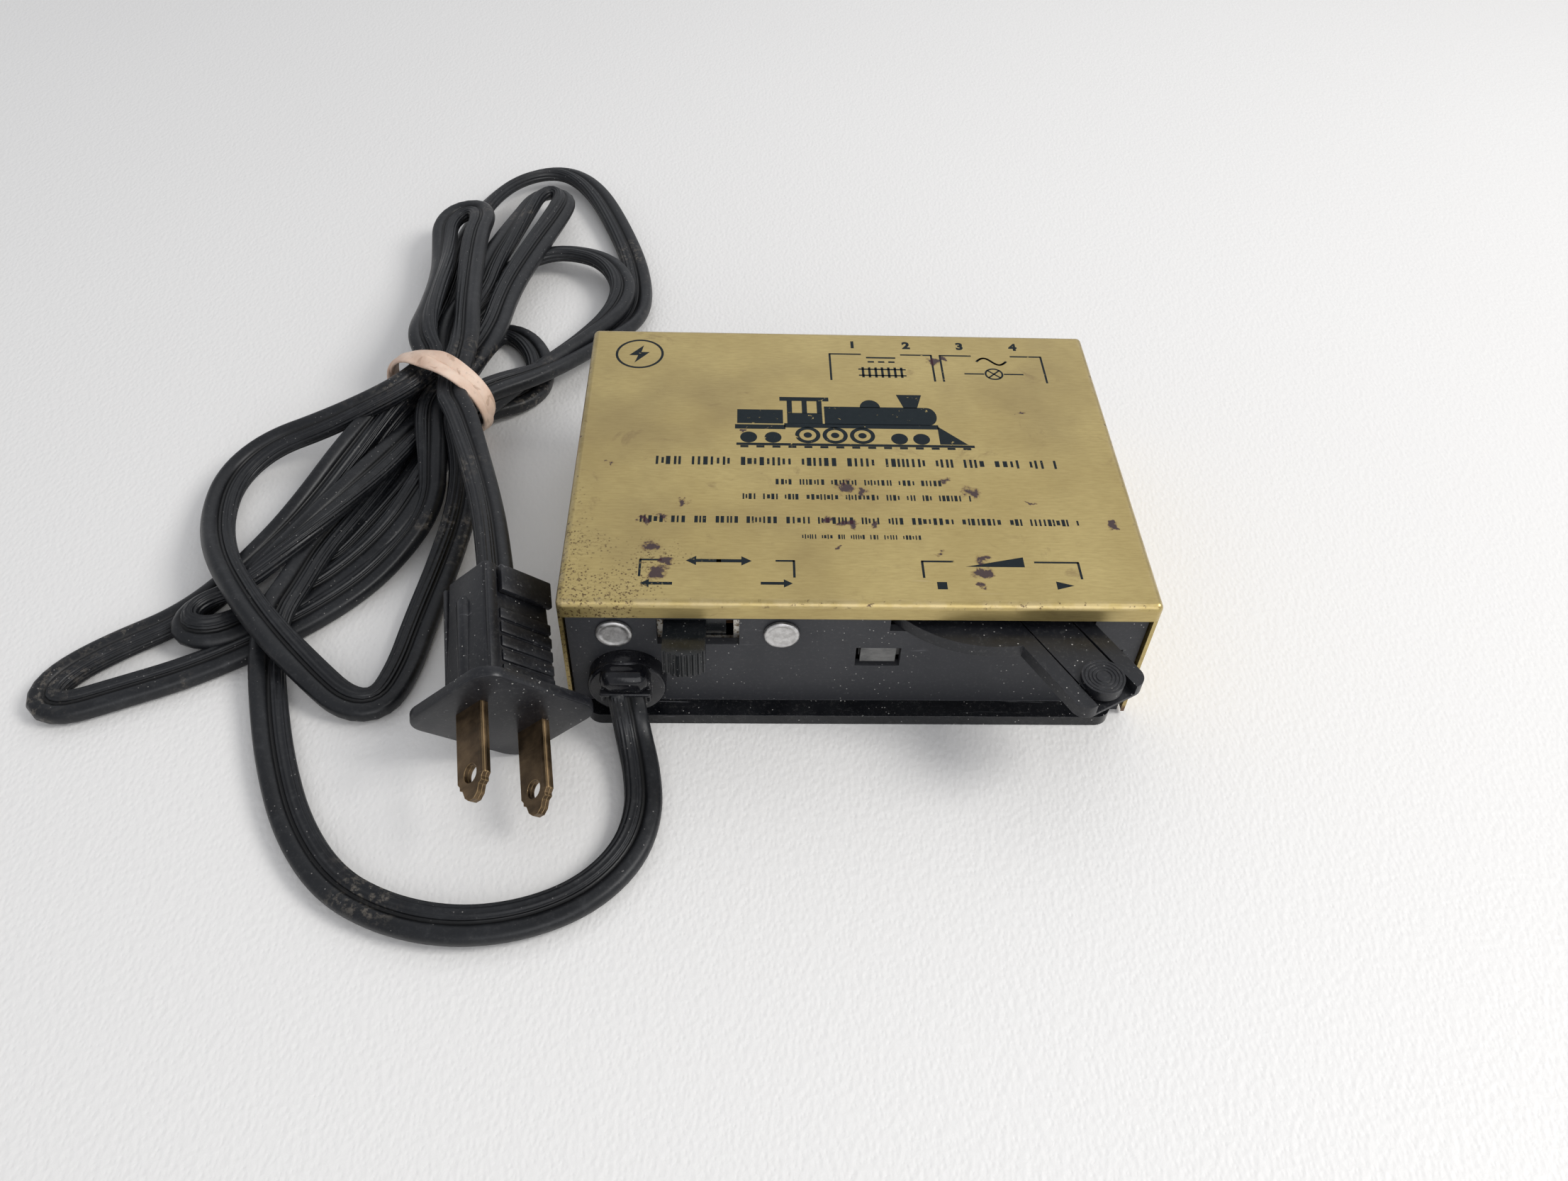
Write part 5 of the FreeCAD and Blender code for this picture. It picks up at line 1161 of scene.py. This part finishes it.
def laminated_core():
    """Stacked steel sheets, seen edge on, under brown varnish."""
    shader = Shader("core_steel", (0.14, 0.14, 0.15), 0.45, 0.8)
    _, _, z = shader.separate()
    sheets = shader.stripes(z, SHEET_WAVES)
    color = shader.mix(sheets, (0.06, 0.055, 0.055), (0.20, 0.195, 0.19))
    color = shader.tint(color, (0.16, 0.08, 0.035), shader.noise(160, 5), 0.52, 0.7, 0.7)
    return shader.paint(color, 0.45, None, shader.bump(sheets, 0.0001, 0.6))


def speckled_board(name, dark, light, rough, scale):
    """A matt board or moulding with a fibrous fleck."""
    shader = Shader(name, light, rough)
    fleck = shader.noise(1.0, 5, 0.7, shader.stretched((scale, scale * 2.5, scale * 2.5)))
    cloud = shader.noise(120, 4)
    color = shader.mix(shader.ramp(fleck, 0.36, 0.64), dark, light)
    color = shader.tint(color, dark, cloud, 0.5, 0.75, 0.35)
    return shader.paint(color, shader.span(fleck, 0.3, 0.7, rough - 0.06, rough + 0.08), None,
                        shader.bump(fleck, 0.00003, 0.6))


def pebbled_floor():
    """The table: an off-white sheet with a fine pebbled grain."""
    shader = Shader("floor", (0.80, 0.79, 0.77), 0.55)
    grain = shader.cells(1150, shader.stretched((1.25, 0.8, 1.0), (0, 0, 0.25)), "SMOOTH_F1")
    wave = shader.noise(1100, 4, 0.6, distortion=1.0)
    height = shader.math("ADD", grain, shader.times(wave, 0.5))
    shade = shader.mix(shader.noise(4, 3), (0.80, 0.785, 0.765), (0.84, 0.83, 0.81))
    return shader.paint(shade, 0.5, None, shader.bump(height, 0.0002, 0.5))


# Dark and light colour, roughness and the scale of the pattern.
METALS = {
    "rivet_aluminium": ((0.50, 0.49, 0.48), (0.74, 0.73, 0.72), 0.42, 900),
    "screw_steel": ((0.40, 0.38, 0.35), (0.66, 0.65, 0.62), 0.34, 700),
    "brass": ((0.34, 0.22, 0.09), (0.66, 0.48, 0.21), 0.34, 380),
}
BOARDS = {
    "fibre_board": ((0.10, 0.045, 0.02), (0.26, 0.135, 0.065), 0.6, 500),
    "bobbin_nylon": ((0.58, 0.54, 0.44), (0.74, 0.71, 0.62), 0.45, 150),
    "grey_moulding": ((0.075, 0.075, 0.073), (0.16, 0.158, 0.152), 0.5, 300),
    "selenium_plate": ((0.12, 0.16, 0.12), (0.26, 0.31, 0.25), 0.5, 400),
    "lead_insulation": ((0.25, 0.03, 0.02), (0.42, 0.07, 0.045), 0.4, 260),
}


def finished_materials():
    """A finished material for each of the record's slots, and for two pieces of their own."""
    made = {
        "gold_lacquer": gold_lacquer(),
        "base_tray": tray_moulding(),
        "switch_knob": black_plastic("knob_moulding", (0.006, 0.0075, 0.0085), 0.22, 0.45, 0.05 * MM),
        "black_moulding": black_plastic("black_moulding", (0.0075, 0.008, 0.0105), 0.36, 0.9, 0.09 * MM),
        "relief_moulding": black_plastic("relief_moulding", (0.005, 0.005, 0.007), 0.16, 0.45, 0.15 * MM),
        "zinc_steel": speckled_zinc(),
        "core_steel": laminated_core(),
        "blade_brass": blade_brass(),
        "copper_wire": wound_wire(),
        "cord_jacket": cord_rubber(),
        "band_rubber": band_rubber(),
    }
    made.update({name: worn_metal(name, *look) for name, look in METALS.items()})
    made.update({name: speckled_board(name, *look) for name, look in BOARDS.items()})
    return made


def dress_frame(made):
    """Every CAD piece takes its own finished material or its slot's."""
    for part in frame["record"]["subparts"]:
        thing = frame["nodes"][part["node"]]
        thing.data.materials.clear()
        thing.data.materials.append(made.get(part["node"], made[part["material_slot"]]))


# ---------------------------------------------------------------- build

def add_floor():
    """The table top, far wider than the view."""
    reach = 3.0
    corners = [(-reach, -reach, 0), (reach, -reach, 0), (reach, reach, 0), (-reach, reach, 0)]
    new_object("floor", corners, [(0, 1, 2, 3)], pebbled_floor())


def add_cord(material, plug_pieces):
    """The mains cord, end to end, in place of the CAD cord pieces, which it hides; plug_pieces is not used.
    """
    cord, line = cord_mesh(material)
    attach(cord, "root")
    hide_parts("cord_front_loop", "cord_hank", "cord_plug_lead")


def build():
    """Camera, lights, table, materials and every mesh piece."""
    add_camera()
    add_lights()
    add_floor()
    made = finished_materials()
    dress_frame(made)
    plug = [
        add_plug(made["black_moulding"]),
        add_blade(-1, "plug_blade_left", made["blade_brass"]),
        add_blade(1, "plug_blade_right", made["blade_brass"]),
    ]
    add_cord(made["cord_jacket"], plug + add_band(made["band_rubber"]))
    add_relief(made["relief_moulding"])
    add_rivets(made["rivet_aluminium"])
    add_print(lid_ink())


build()
